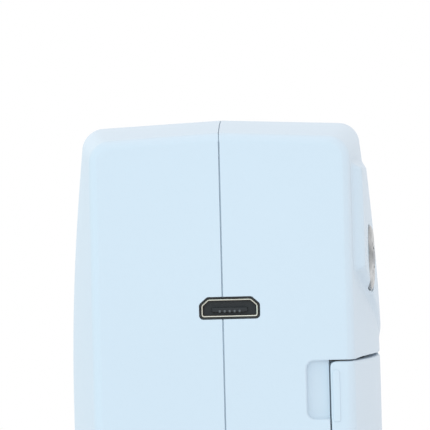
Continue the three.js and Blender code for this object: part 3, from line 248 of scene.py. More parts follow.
class Form:
    """The casing's shape in millimetres, from the panel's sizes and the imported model's box."""

    def __init__(self):
        sizes = bpy.context.scene.machine_sizes
        for key in MachineSizes.__annotations__:
            setattr(self, key, getattr(sizes, key) / MM)
        self.rear, self.nose = CAD_BOX[0].y / MM, CAD_BOX[1].y / MM
        self.crest_height = CAD_BOX[1].z / MM
        self.rear_top = self.crest_height - self.rear_drop
        self.head_low = self.bed_top + self.throat_height
        self.throat_back = self.nose - self.throat_depth

    def top(self, y):
        crest = self.rear + self.crest_ahead
        drop, run = (
            (self.rear_drop, self.crest_ahead) if y < crest else (self.nose_drop, self.nose - crest)
        )
        return self.crest_height - drop * ((y - crest) / run) ** 2

    def flare(self, y):
        return 1 - (1 - clamp((y - self.rear) / self.flare_run)) ** 2

    def half(self, y, z):
        flare = self.flare(y)
        taper = smooth(y, self.nose - self.taper_run, self.nose)
        full = self.half_end + (self.half_mid - self.half_end) * flare
        full -= (self.half_mid - self.half_nose) * taper
        high = max(0.0, (z - self.tuck_from) / (self.crest_height - self.tuck_from))
        low = max(0.0, (self.tuck_under - z) / self.tuck_under)
        return full - self.tuck_top * flare * high**2 - self.tuck_base * low**2

    def inset(self, y, inset=0.0):
        nose = self.nose_radius - inset
        past = y - (self.nose - self.nose_radius)
        if past > 0:
            return inset + nose - math.sqrt(max(0.0, nose**2 - past**2))
        edge = self.edge_radius - inset
        short = self.rear + self.edge_radius - y
        if short > 0 and edge > 0:
            return inset + edge - math.sqrt(max(0.0, edge**2 - short**2))
        return inset

    def pad_lines(self, y):
        """The heights of the pad's lower and upper edges."""
        share = clamp((y - self.rear - self.pad_back) / (self.pad_run - self.pad_back))
        top = self.rear_top - self.pad_top
        eased = 1 - (1 - share) ** 2
        return top - self.pad_height - self.pad_sweep * eased, top + 2 * share

    def pad(self, y, z):
        """How far the pad lifts the surface at a place."""
        low, high = self.pad_lines(y)
        ledge = self.pad_ledge
        rise = self.pad_rise * max(0.0, 1 - (y - self.rear) / self.pad_run) ** 2
        start = self.rear + self.pad_back
        across = smooth(y, start - ledge, start + ledge)
        return rise * across * smooth(z, low - ledge, low + ledge) * smooth(-z, -high - ledge, -high + ledge)

    def surface(self, y, z, side=1):
        """The flank's place on one side."""
        rise = self.pad(y, z) if side > 0 else 0.0
        return self.half(y, z) + rise - self.inset(y)

    def section(self, y, inset, side, seam=None, fine=True):
        """One half's outline at a place along it, from the seam at the base to the seam at the top."""
        deep = self.inset(y, inset)
        low, high = self.foot_height + deep, self.top(y) - deep
        under = max(self.base_radius - max(deep, 0), 0.4)
        over = max(self.top_radius - max(deep, 0), 0.4)
        edge = self.seam / 2 if seam is None else seam
        roll = self.seam_radius if fine else 0.0
        short = self.rear + roll - y
        if roll and short > 0:
            edge += roll - math.sqrt(max(0.0, roll**2 - short**2))
        quarter = [math.radians(turn) for turn in ((0, 30, 60, 90) if fine else (0, 90))]
        points = []
        if fine:
            points += [(edge + roll * (1 - math.cos(t)), low + roll * (1 - math.sin(t))) for t in quarter]
        else:
            points.append((edge, low))
        flank_low = low + under
        flank_high = high - self.crown - over
        base = self.half(y, flank_low) - deep - under
        points += [(base * share, low) for share in (0.33, 0.66)]
        turns = range(0, 91, 10) if fine else range(0, 91, 30)
        for turn in turns:
            angle = math.radians(turn)
            points.append((base + under * math.sin(angle), low + under * (1 - math.cos(angle))))
        ledge = self.pad_ledge
        pad_low, pad_high = self.pad_lines(y)
        pad_high = min(pad_high, flank_high - 1.6 * ledge)
        stops = [flank_low, pad_low - ledge, pad_low + ledge, pad_high - ledge, pad_high + ledge, flank_high]
        counts = (26, 8, 10, 8, 3) if fine else (8, 1, 3, 1, 1)
        heights = []
        for start, end, count in zip(stops, stops[1:], counts):
            heights += [start + (end - start) * step / count for step in range(1, count + 1)]
        for z in heights:
            rise = self.pad(y, z) if side > 0 and fine else 0.0
            points.append((self.half(y, z) - deep + rise, z))
        corner = points[-1][0] - over
        for turn in turns[1:]:
            angle = math.radians(turn)
            points.append((corner + over * math.cos(angle), flank_high + over * math.sin(angle)))
        rim = edge + roll
        for share in (0.25, 0.5, 0.75):
            points.append((corner + (rim - corner) * share, high - self.crown * (1 - share)))
        if fine:
            points += [(edge + roll * (1 - math.sin(t)), high - roll * (1 - math.cos(t))) for t in quarter]
        else:
            points.append((edge, high))
        return points

    def stations(self, inset, fine):
        """Places along the casing where its outline is drawn."""
        start, end = self.rear + inset, self.nose - inset
        places = [start]
        if fine:
            roll = self.seam_radius
            places += [start + roll * share for share in (0.15, 0.5, 1)]
            places += [start + self.edge_radius * (1 - math.cos(math.radians(t))) for t in range(36, 91, 9)]
            pad = self.rear + self.pad_back
            places += [pad + self.pad_ledge * share for share in (-1, -0.6, -0.2, 0.2, 0.6, 1)]
        first = places[-1]
        last = self.nose - self.nose_radius
        count = 62 if fine else 16
        places += [first + (last - first) * step / count for step in range(1, count + 1)]
        nose = end - last
        for turn in range(10, 91, 10) if fine else (30, 60, 90):
            places.append(last + nose * math.sin(math.radians(turn)))
        return places


# ------------------------------------------------------------------ modelling


def deselect():
    if bpy.context.mode != "OBJECT":
        bpy.ops.object.mode_set(mode="OBJECT")
    bpy.ops.object.select_all(action="DESELECT")


def only(piece):
    """Makes one object the selected and active one."""
    deselect()
    piece.select_set(True)
    bpy.context.view_layer.objects.active = piece
    return piece


def fresh(name):
    """The object that the last primitive made, renamed."""
    piece = bpy.context.active_object
    piece.name = name
    piece.data.name = name
    return piece


def pick(piece, kind, test):
    """In edit mode, selects the faces, edges or vertices that pass a test."""
    mesh = bmesh.from_edit_mesh(piece.data)
    bpy.ops.mesh.select_mode(type={"verts": "VERT", "edges": "EDGE", "faces": "FACE"}[kind])
    bpy.ops.mesh.select_all(action="DESELECT")
    mesh = bmesh.from_edit_mesh(piece.data)
    for element in getattr(mesh, kind):
        if test(element):
            element.select_set(True)
    mesh.select_flush_mode()
    bmesh.update_edit_mesh(piece.data)


def tidy(piece, distance=1e-4):
    """Merges doubled points and turns every face outwards."""
    only(piece)
    bpy.ops.object.mode_set(mode="EDIT")
    bpy.ops.mesh.select_all(action="SELECT")
    bpy.ops.mesh.remove_doubles(threshold=distance)
    bpy.ops.mesh.normals_make_consistent(inside=False)
    bpy.ops.object.mode_set(mode="OBJECT")
    return piece


def apply_modifier(piece, kind, **settings):
    only(piece)
    made = piece.modifiers.new(kind.lower(), kind)
    for key, value in settings.items():
        setattr(made, key, value)
    bpy.ops.object.modifier_apply(modifier=made.name)
    return piece


def along(axis, a, b, run):
    """A point from an outline's two coordinates and its place along an axis."""
    point = Vector()
    for index, value in zip(AXES[axis], (a, b, run)):
        point[index] = value
    return point


def loft(name, rings, closed=True):
    """A solid through rings of equally many points, from a grid whose rows are laid on the rings."""
    rows = [list(ring) + ([ring[0]] if closed else []) for ring in rings]
    deselect()
    bpy.ops.mesh.primitive_grid_add(
        x_subdivisions=len(rows[0]) - 1, y_subdivisions=len(rows) - 1, size=2
    )
    piece = fresh(name)
    points = [point for row in rows for point in row]
    for vertex, point in zip(piece.data.vertices, points, strict=True):
        vertex.co = point
    columns, count = len(rows[0]), len(rows)
    last = columns * (count - 1)
    width = columns - 1 if closed else columns
    loops = [list(range(width)), list(range(last, last + width))]
    if not closed:
        left = [row * columns for row in range(count)]
        loops.append(left + [row * columns + columns - 1 for row in reversed(range(count))])
    mesh = bmesh.new()
    mesh.from_mesh(piece.data)
    mesh.verts.ensure_lookup_table()
    for loop in loops:
        mesh.faces.new([mesh.verts[index] for index in loop])
    mesh.to_mesh(piece.data)
    mesh.free()
    return tidy(piece)


def grown(outline, grow):
    """An outline moved outwards by a distance. Its points run anticlockwise."""
    count = len(outline)
    moved = []
    for index, point in enumerate(outline):
        here = Vector(point)
        before = (here - Vector(outline[index - 1])).normalized()
        after = (Vector(outline[(index + 1) % count]) - here).normalized()
        normals = [Vector((edge.y, -edge.x)) for edge in (before, after)]
        lean = (normals[0] + normals[1]).normalized()
        moved.append(tuple(here + lean * (grow / max(0.5, lean.dot(normals[0])))))
    return moved


def rounded(outline, radii, steps=6):
    """The outline with its corners rounded; radii is one radius or one for each corner."""
    points = []
    count = len(outline)
    for index, corner in enumerate(outline):
        radius = radii[index] if isinstance(radii, (list, tuple)) else radii
        here = Vector(corner)
        if not radius:
            points.append(tuple(here))
            continue
        before = (Vector(outline[index - 1]) - here).normalized()
        after = (Vector(outline[(index + 1) % count]) - here).normalized()
        half = before.angle(after) / 2
        reach = radius / math.tan(half)
        centre = here + (before + after).normalized() * (radius / math.sin(half))
        start, end = here + before * reach - centre, here + after * reach - centre
        sweep = start.angle_signed(end)
        for step in range(steps + 1):
            points.append(tuple(centre + Matrix.Rotation(-sweep * step / steps, 2) @ start))
    return points


def rectangle(a, b):
    return [(a[0], b[0]), (a[1], b[0]), (a[1], b[1]), (a[0], b[1])]


def circle(middle, radius, sides=32):
    turns = [2 * math.pi * side / sides for side in range(sides)]
    return [(middle[0] + radius * math.cos(t), middle[1] + radius * math.sin(t)) for t in turns]


def slab(name, axis, outline, start, end, rim=0.0, segments=3):
    """A flat face in the outline's shape, extruded along an axis, with both rims bevelled."""
    deselect()
    bpy.ops.mesh.primitive_circle_add(vertices=len(outline), radius=1, fill_type="NGON")
    piece = fresh(name)
    for vertex, (a, b) in zip(piece.data.vertices, outline, strict=True):
        vertex.co = along(axis, a, b, start)
    bpy.ops.object.mode_set(mode="EDIT")
    bpy.ops.mesh.select_all(action="SELECT")
    bpy.ops.mesh.extrude_region_move(
        TRANSFORM_OT_translate={"value": along(axis, 0, 0, end - start)}
    )
    if rim:
        run = AXES[axis][2]
        low, high = min(start, end), max(start, end)
        pick(
            piece,
            "edges",
            lambda edge: all(abs(vertex.co[run] - low) < 1e-4 for vertex in edge.verts)
            or all(abs(vertex.co[run] - high) < 1e-4 for vertex in edge.verts),
        )
        bpy.ops.mesh.bevel(offset=rim, segments=segments, affect="EDGES")
    bpy.ops.object.mode_set(mode="OBJECT")
    return tidy(piece)


def turned(name, axis, middle, profile, steps=48):
    """A closed profile of [radius, place] points, spun round an axis."""
    deselect()
    bpy.ops.mesh.primitive_circle_add(vertices=len(profile), radius=1, fill_type="NOTHING")
    piece = fresh(name)
    for vertex, (radius, place) in zip(piece.data.vertices, profile, strict=True):
        vertex.co = along(axis, middle[0] + radius, middle[1], place)
    bpy.ops.object.mode_set(mode="EDIT")
    bpy.ops.mesh.select_all(action="SELECT")
    bpy.ops.mesh.spin(
        steps=steps, angle=2 * math.pi, center=along(axis, *middle, 0), axis=along(axis, 0, 0, 1)
    )
    bpy.ops.mesh.select_all(action="SELECT")
    bpy.ops.mesh.remove_doubles(threshold=1e-4)
    bpy.ops.mesh.dissolve_degenerate(threshold=1e-5)
    pick(piece, "edges", lambda edge: not edge.link_faces)
    bpy.ops.mesh.delete(type="EDGE")
    bpy.ops.object.mode_set(mode="OBJECT")
    return tidy(piece)


def softened(profile, radii, steps=4):
    """A turned profile with its corners rounded."""
    return rounded(profile, radii, steps)


def joined(name, *pieces):
    """Several solids as one object."""
    deselect()
    for piece in pieces:
        piece.select_set(True)
    bpy.context.view_layer.objects.active = pieces[0]
    bpy.ops.object.join()
    return fresh(name)


def combine(piece, other, operation):
    """Joins or cuts one solid by another, and takes the other away."""
    apply_modifier(piece, "BOOLEAN", object=other, operation=operation, solver="EXACT")
    bpy.data.objects.remove(other)
    return piece


def carve(piece, *cutters):
    for cutter in cutters:
        combine(piece, cutter, "DIFFERENCE")
    return piece


def add_to(piece, *others):
    for other in others:
        combine(piece, other, "UNION")
    return piece


def moved(piece, matrix):
    piece.data.transform(matrix)
    return piece


def finished(piece, body, slot, finish, *nodes, angle=32, weighted=True):
    """Gives a piece its shading, scale, body, material slot and material, and hides what it replaces."""
    only(piece)
    bpy.ops.object.mode_set(mode="EDIT")
    bpy.ops.mesh.select_all(action="SELECT")
    bpy.ops.mesh.remove_doubles(threshold=1e-4)
    bpy.ops.mesh.dissolve_degenerate(threshold=1e-4)
    bpy.ops.object.mode_set(mode="OBJECT")
    bpy.ops.object.shade_smooth_by_angle(angle=math.radians(angle), keep_sharp_edges=False)
    if weighted:
        apply_modifier(piece, "WEIGHTED_NORMAL", keep_sharp=True, weight=50)
    piece.data.transform(Matrix.Scale(MM, 4))
    piece.data.materials.clear()
    piece.data.materials.append(FINISHES[finish]())
    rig.ride(piece, body)
    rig.slot(piece, slot)
    if nodes:
        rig.replaces(piece, *nodes)
    return piece


def refined(node, finish, body, slot, rim=0.15, angle=32):
    """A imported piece's copy with its points merged and its edges broken."""
    source = frame["nodes"][node]
    piece = bpy.data.objects.new(f"{node}_fine", source.data.copy())
    bpy.context.scene.collection.objects.link(piece)
    piece.data.transform(Matrix.Scale(1 / MM, 4))
    tidy(piece, 1e-3)
    bpy.ops.object.mode_set(mode="EDIT")
    bpy.ops.mesh.select_all(action="SELECT")
    bpy.ops.mesh.dissolve_limited(angle_limit=math.radians(1))
    bpy.ops.object.mode_set(mode="OBJECT")
    apply_modifier(
        piece, "BEVEL", width=rim, segments=2, limit_method="ANGLE", angle_limit=math.radians(angle)
    )
    return finished(piece, body, slot, finish, node)


# ------------------------------------------------------------------ materials


class Wire:
    """A shader socket that can be added, scaled and compared like a number."""

    def __init__(self, finish, socket):
        self.finish, self.socket = finish, socket

    def sum_of(self, operation, first, second):
        return self.finish.node("ShaderNodeMath", {"operation": operation}, {0: first, 1: second})

    def __add__(self, other):
        return self.sum_of("ADD", self, other)

    __radd__ = __add__

    def __sub__(self, other):
        return self.sum_of("SUBTRACT", self, other)

    def __rsub__(self, other):
        return self.sum_of("SUBTRACT", other, self)

    def __mul__(self, other):
        return self.sum_of("MULTIPLY", self, other)

    __rmul__ = __mul__

    def __gt__(self, other):
        return self.sum_of("GREATER_THAN", self, other)

    def __lt__(self, other):
        return self.sum_of("LESS_THAN", self, other)


class Finish:
    """One material and its nodes."""

    def __init__(self, name):
        self.material = bpy.data.materials.new(name)
        self.material.use_nodes = True
        self.tree = self.material.node_tree
        self.shader = self.tree.nodes["Principled BSDF"]

    def join(self, socket, value):
        if isinstance(value, Wire):
            self.tree.links.new(value.socket, socket)
        else:
            socket.default_value = value

    def node(self, kind, settings=None, values=None, output=0):
        """Adds a node, makes its settings, then joins or sets its sockets."""
        made = self.tree.nodes.new(kind)
        for key, value in (settings or {}).items():
            if key == "stops":
                ramp = made.color_ramp
                while len(ramp.elements) < len(value):
                    ramp.elements.new(0.5)
                for element, (place, shade) in zip(ramp.elements, value):
                    element.position, element.color = place, (*shade, 1)
            else:
                setattr(made, key, value)
        for key, value in (values or {}).items():
            self.join(made.inputs[key], value)
        return Wire(self, made.outputs[output])

    def place(self):
        """Where a point is on the piece, in metres."""
        return self.node("ShaderNodeTexCoord", output="Object")

    def parts(self, vector):
        """A vector's X, Y and Z."""
        return [self.node("ShaderNodeSeparateXYZ", values={0: vector}, output=axis) for axis in "XYZ"]

    def noise(self, scale, detail=3.0, vector=None, roughness=0.5):
        return self.node(
            "ShaderNodeTexNoise",
            values={
                "Vector": vector or self.place(),
                "Scale": scale,
                "Detail": detail,
                "Roughness": roughness,
            },
        )

    def stretched(self, x, y, z):
        """The place with each axis scaled, for grain that runs one way."""
        return self.node(
            "ShaderNodeVectorMath", {"operation": "MULTIPLY"}, {0: self.place(), 1: (x, y, z)}
        )

    def mix(self, share, first, second):
        """A colour between two others."""
        return self.node(
            "ShaderNodeMix",
            {"data_type": "RGBA"},
            {0: share, 6: self.rgba(first), 7: self.rgba(second)},
            output=2,
        )

    @staticmethod
    def rgba(shade):
        return shade if isinstance(shade, Wire) or len(shade) == 4 else (*shade, 1)

    def shades(self, base, amount, scale, detail=3.0):
        """The base colour, a little darker and lighter in soft clouds."""
        dark = tuple(value * (1 - amount) for value in base)
        light = tuple(min(1.0, value * (1 + amount)) for value in base)
        return self.mix(self.noise(scale, detail), dark, light)

    def bump(self, height, depth, distance=0.0002):
        return self.node(
            "ShaderNodeBump", values={"Strength": depth, "Distance": distance, "Height": height}
        )

    def close(self, base, roughness, normal=None, **constants):
        """Joins the surface's varying values and sets the constant ones."""
        self.join(self.shader.inputs["Base Color"], base)
        self.join(self.shader.inputs["Roughness"], roughness)
        if normal is not None:
            self.join(self.shader.inputs["Normal"], normal)
        for key, value in constants.items():
            self.join(self.shader.inputs[key.replace("_", " ")], value)
        return self.material


def shade_of(name):
    return tuple(getattr(bpy.context.scene.machine_colours, name))


def moulded(name, base, grain=2600, depth=0.05, rough=0.5, coat=0.0, cloud=0.012):
    """Moulded plastic: a fine even grain, faint clouds of colour and soft flow marks."""
    finish = Finish(name)
    fine = finish.noise(grain, 2)
    flow = finish.noise(60, 2, finish.stretched(1, 0.35, 1))
    height = fine * 0.7 + finish.noise(grain * 0.3, 2) * 0.3
    return finish.close(
        finish.shades(base, cloud, 55),
        flow * 0.1 + (rough - 0.05),
        finish.bump(height, depth),
        Coat_Weight=coat,
        Specular_IOR_Level=0.4,
    )


def worked(name, base, rough=0.3, grain=(900, 900, 60), depth=0.05, shift=0.12):
    """Worked metal: fine lines one way, faint stains and slightly uneven polish."""
    finish = Finish(name)
    lines = finish.noise(1, 3, finish.stretched(*grain))
    stain = finish.noise(180, 3)
    return finish.close(
        finish.mix(lines * 0.6 + stain * 0.4, tuple(v * (1 - shift) for v in base), base),
        lines * 0.12 + stain * 0.08 + (rough - 0.08),
        finish.bump(lines, depth),
        Metallic=1.0,
    )


MADE = {}


def kept(maker):
    """Makes a material on its first use only."""

    def get():
        if maker.__name__ not in MADE:
            MADE[maker.__name__] = maker()
        return MADE[maker.__name__]

    return get


@kept
def casing_plastic():
    return moulded("casing_plastic", shade_of("casing"), rough=0.52)


@kept
def trim_plastic():
    return moulded("trim_plastic", shade_of("trim"), rough=0.38, depth=0.03, coat=0.15)


@kept
def nylon():
    return moulded("nylon", shade_of("nylon"), grain=1500, depth=0.06, rough=0.5, cloud=0.04)


@kept
def black_plastic():
    return moulded("black_plastic", shade_of("black"), grain=3000, depth=0.08, rough=0.42, cloud=0.3)


@kept
def rubber():
    return moulded("rubber", shade_of("rubber"), grain=1800, depth=0.3, rough=0.82, cloud=0.15)


@kept
def bright_metal():
    return worked("bright_metal", shade_of("silver"), rough=0.24)


@kept
def bar_steel():
    return worked("bar_steel", shade_of("steel"), rough=0.34, grain=(500, 500, 80))


@kept
def brass():
    return worked("brass", shade_of("brass"), rough=0.3, grain=(700, 90, 90))


@kept
def spun_metal():
    """Spun metal with painted reflections: light and dark streaks running out from the middle are painted into its
    colour, in place of the surroundings it would reflect.
    """
    finish = Finish("spun_metal")
    middle = node_middle("tension_stud") * MM
    lean = finish.node(
        "ShaderNodeVectorMath", {"operation": "SUBTRACT"}, {0: finish.place(), 1: middle}
    )
    around, up = finish.parts(lean)[1:]
    turn = finish.node("ShaderNodeMath", {"operation": "ARCTAN2"}, {0: around, 1: up})
    spread = finish.node("ShaderNodeCombineXYZ", values={"X": turn})
    streak = finish.noise(1.15, 1, spread, 0.4)
    radius = finish.node("ShaderNodeVectorMath", {"operation": "LENGTH"}, {0: lean}, output="Value")
    rings = finish.node("ShaderNodeMath", {"operation": "SINE"}, {0: radius * 26000})
    # painted reflection: the streak noise picks dark, middle and light grey as the colour, standing in for reflected
    # surroundings
    sheen = finish.node(
        "ShaderNodeValToRGB",
        {"stops": [(0.28, (0.2, 0.21, 0.215)), (0.47, (0.36, 0.365, 0.37)), (0.66, (0.56, 0.56, 0.565))]},
        {"Fac": streak},
    )
    return finish.close(
        sheen, streak * 0.15 + 0.2, finish.bump(rings, 0.03, 0.00002), Metallic=1.0
    )


@kept
def socket_metal():
    """Thin plated shell with a warm tint and a few rubbed spots."""
    finish = Finish("socket_metal")
    rub = finish.noise(2200, 3)
    return finish.close(
        finish.mix(rub, (0.5, 0.46, 0.38), (0.74, 0.7, 0.62)),
        rub * 0.2 + 0.22,
        finish.bump(rub, 0.1, 0.00005),
        Metallic=1.0,
    )


@kept
def contact_metal():
    finish = Finish("contact_metal")
    rub = finish.noise(5000, 2)
    return finish.close(
        finish.mix(rub, (0.07, 0.075, 0.08), (0.15, 0.155, 0.16)),
        rub * 0.2 + 0.35,
        finish.bump(rub, 0.1, 0.00004),
        Metallic=0.35,
    )


@kept
def charge_board():
    """Solder mask with paler runs of copper under it."""
    finish = Finish("charge_board")
    x = finish.parts(finish.place())[0]
    wander = finish.noise(220, 1) * 0.004
    lanes = finish.node("ShaderNodeMath", {"operation": "SINE"}, {0: (x + wander) * 5200})
    dots = finish.node("ShaderNodeTexVoronoi", values={"Vector": finish.place(), "Scale": 420})
    copper = (lanes > 0.72) * 0.55 + (dots < 0.12) * 0.8
    mask = shade_of("board")
    lit = (mask[0] + 0.05, mask[1] + 0.2, mask[2] + 0.1)
    return finish.close(
        finish.mix(copper, mask, lit), 0.36 + copper * 0.1, finish.bump(copper, 0.2, 0.00005)
    )


@kept
def cell_wrap():
    """Shrunk sleeve with a paler printed band and small wrinkles."""
    finish = Finish("cell_wrap")
    y = finish.parts(finish.place())[1]
    band = (y > -0.08) * (y < -0.062)
    wrinkle = finish.noise(160, 3, finish.stretched(1, 3, 1))
    base = shade_of("wrap")
    pale = tuple(0.5 + value * 0.4 for value in base)
    shade = finish.mix(band, finish.shades(base, 0.12, 90), pale)
    return finish.close(shade, wrinkle * 0.15 + 0.25, finish.bump(wrinkle, 0.25), Coat_Weight=0.3)


@kept
def wound_thread():
    """Thread laid turn beside turn, with its twist."""
    finish = Finish("wound_thread")
    x, y, z = finish.parts(finish.place())
    twist = finish.node("ShaderNodeMath", {"operation": "SINE"}, {0: (x * 3 + y + z) * 9000})
    base = shade_of("thread")
    fuzz = finish.noise(5200, 2)
    shade = finish.mix(twist * 0.25 + fuzz * 0.6, tuple(v * 0.7 for v in base), base)
    return finish.close(
        shade, 0.8 + fuzz * 0.15, finish.bump(twist * 0.4 + fuzz * 0.6, 0.5, 0.00008), Sheen_Weight=0.4
    )


@kept
def clear_lens():
    finish = Finish("clear_lens")
    swirl = finish.noise(900, 2)
    return finish.close(
        finish.mix(swirl, (0.78, 0.82, 0.84), (0.9, 0.93, 0.95)),
        swirl * 0.08 + 0.1,
        finish.bump(swirl, 0.12, 0.00005),
        Coat_Weight=0.8,
        Transmission_Weight=0.3,
    )


@kept
def motor_can():
    return worked("motor_can", (0.5, 0.52, 0.54), rough=0.4, grain=(60, 500, 500), shift=0.2)


@kept
def table_top():
    """Plain pale paper with a hardly visible tooth."""
    finish = Finish("table_top")
    base = shade_of("floor")
    return finish.close(
        finish.shades(base, 0.01, 6), 0.85 + finish.noise(30) * 0.1, finish.bump(finish.noise(900), 0.02)
    )


FINISHES = {
    maker: globals()[maker]
    for maker in (
        "casing_plastic trim_plastic nylon black_plastic rubber bright_metal bar_steel brass spun_metal "
        "socket_metal contact_metal charge_board cell_wrap wound_thread clear_lens motor_can table_top"
    ).split()
}


# ------------------------------------------------------------------ casing


def divided(outline, longest=3.0):
    """The outline with its long edges split, so that it can follow a curved surface."""
    points = []
    for index, point in enumerate(outline):
        here, after = Vector(point), Vector(outline[(index + 1) % len(outline)])
        count = max(1, math.ceil((after - here).length / longest))
        points += [tuple(here.lerp(after, step / count)) for step in range(count)]
    return points


def flared(name, axis, outline, start, surface, way, roll, steps=4):
    """A cutter whose walls roll outwards where they meet a surface, so the cut has rounded edges."""
    outline = divided(outline)
    rings = [[along(axis, a, b, start) for a, b in outline]]
    turns = [math.pi / 2 * step / steps for step in range(steps + 1)]
    for spread, lift in [(1 - math.cos(t), math.sin(t) - 1) for t in turns] + [(1, 3 / roll)]:
        ring = grown(outline, roll * spread)
        rings.append([along(axis, a, b, surface(a, b) + way * roll * lift) for a, b in ring])
    return loft(name, rings)


def stack(name, axis, layers):
    """A solid through outlines at their places along an axis."""
    return loft(name, [[along(axis, a, b, place) for a, b in outline] for outline, place in layers])


def cylinder(name, axis, middle, radius, start, end, sides=32):
    return slab(name, axis, circle(middle, radius, sides), start, end)


def block(name, x, y, z):
    return slab(name, "z", rectangle(x, y), z[0], z[1])


def throat_outline(form, grow=0.0, below=0.0):
    past = form.nose + 1
    back = form.throat_back - grow
    low, high = form.bed_top - below, form.head_low + grow
    corners = [(past, high + 1), (back, high), (back, low), (past, low - 1)]
    return rounded(corners, [0, form.throat_radius, form.throat_radius, 0], 8)


def cover_span():
    """The thread cover's inner edge in X, its front edge in Y, and its foot and head in Z."""
    low, high = node_box("thread_cover")
    pin = node_middle("cover_hinge_pin")
    return low.x, pin.y - 2.1, low.z, high.z


def door_outline(form):
    _, _, low, high = cover_span()
    low, high = low - form.cover_gap, high + form.cover_gap
    front = node_middle("cover_hinge_pin").y + 2.1
    slot = 0.25
    return [
        (form.rear - 1, low),
        (front, low),
        (front, high),
        (front - 6, high),
        (front - 14, high + slot),
        (form.rear + 16, high + slot),
        (form.rear + 9, high + slot * 0.85),
        (form.rear + 4.5, high + slot * 0.4),
        (form.rear + 2.4, high),
        (form.rear - 1, high),
    ]


def socket_outline(grow=0.0, corner=0.3):
    """The charging socket's outline, its narrow side up, anticlockwise in Z and X."""
    middle = node_middle("usb_shell")
    low, high = node_box("usb_shell")
    half, tall = (high.x - low.x) / 2, (high.z - low.z) / 2
    slant_x, slant_z = 0.92, 0.82
    points = [
        (-half, -tall),
        (-half, tall - slant_z),
        (slant_x - half, tall),
        (half - slant_x, tall),
        (half, tall - slant_z),
        (half, -tall),
    ]
    outline = [(middle.z + z, middle.x + x) for x, z in points]
    return rounded(grown(outline, grow), corner + max(0.0, grow), 4)


def tension_frame():
    """Carries a piece drawn about X at the origin to the tension axis."""
    joint = next(j for j in frame["joints"] if j["name"] == "tension_set")
    axis = Vector(joint["axis"])
    place = Vector(joint["pos_m"]) / MM
    return Matrix.Translation(place) @ Vector((1, 0, 0)).rotation_difference(axis).to_matrix().to_4x4()


def half_form(form, name, side):
    """One half's outer solid and the room inside it."""
    outer = [
        [Vector((side * x, y, z)) for x, z in form.section(y, 0.0, side)]
        for y in form.stations(0.0, True)
    ]
    room = [
        [Vector((side * x, y, z)) for x, z in form.section(y, form.wall, side, seam=-1.0, fine=False)]
        for y in form.stations(form.wall, False)
    ]
    solid = loft(name, outer, closed=False)
    hollow = loft(f"{name}_room", room, closed=False)
    wall = slab(
        "throat_wall", "x", throat_outline(form, form.wall, form.bed_wall), -2 * form.half_mid,
        2 * form.half_mid,
    )
    carve(hollow, wall)
    return solid, hollow


def rail(form, name, near, far, start, end):
    """A band that follows the casing's profile between two depths under its surface."""
    solids = []
    for depth, past in ((near, 0.0), (far, 0.5)):
        places = sorted(form.stations(depth, True))
        under = [(y, form.foot_height + form.inset(y, depth)) for y in places]
        over = [(y, form.top(y) - form.inset(y, depth)) for y in reversed(places)]
        solids.append(slab(f"{name}_{past}", "x", under + over, start - past, end + past))
    carve(*solids)
    return solids[0]


def screw_places():
    return [node_middle(f"case_screw_{number}") for number in range(1, 6)]


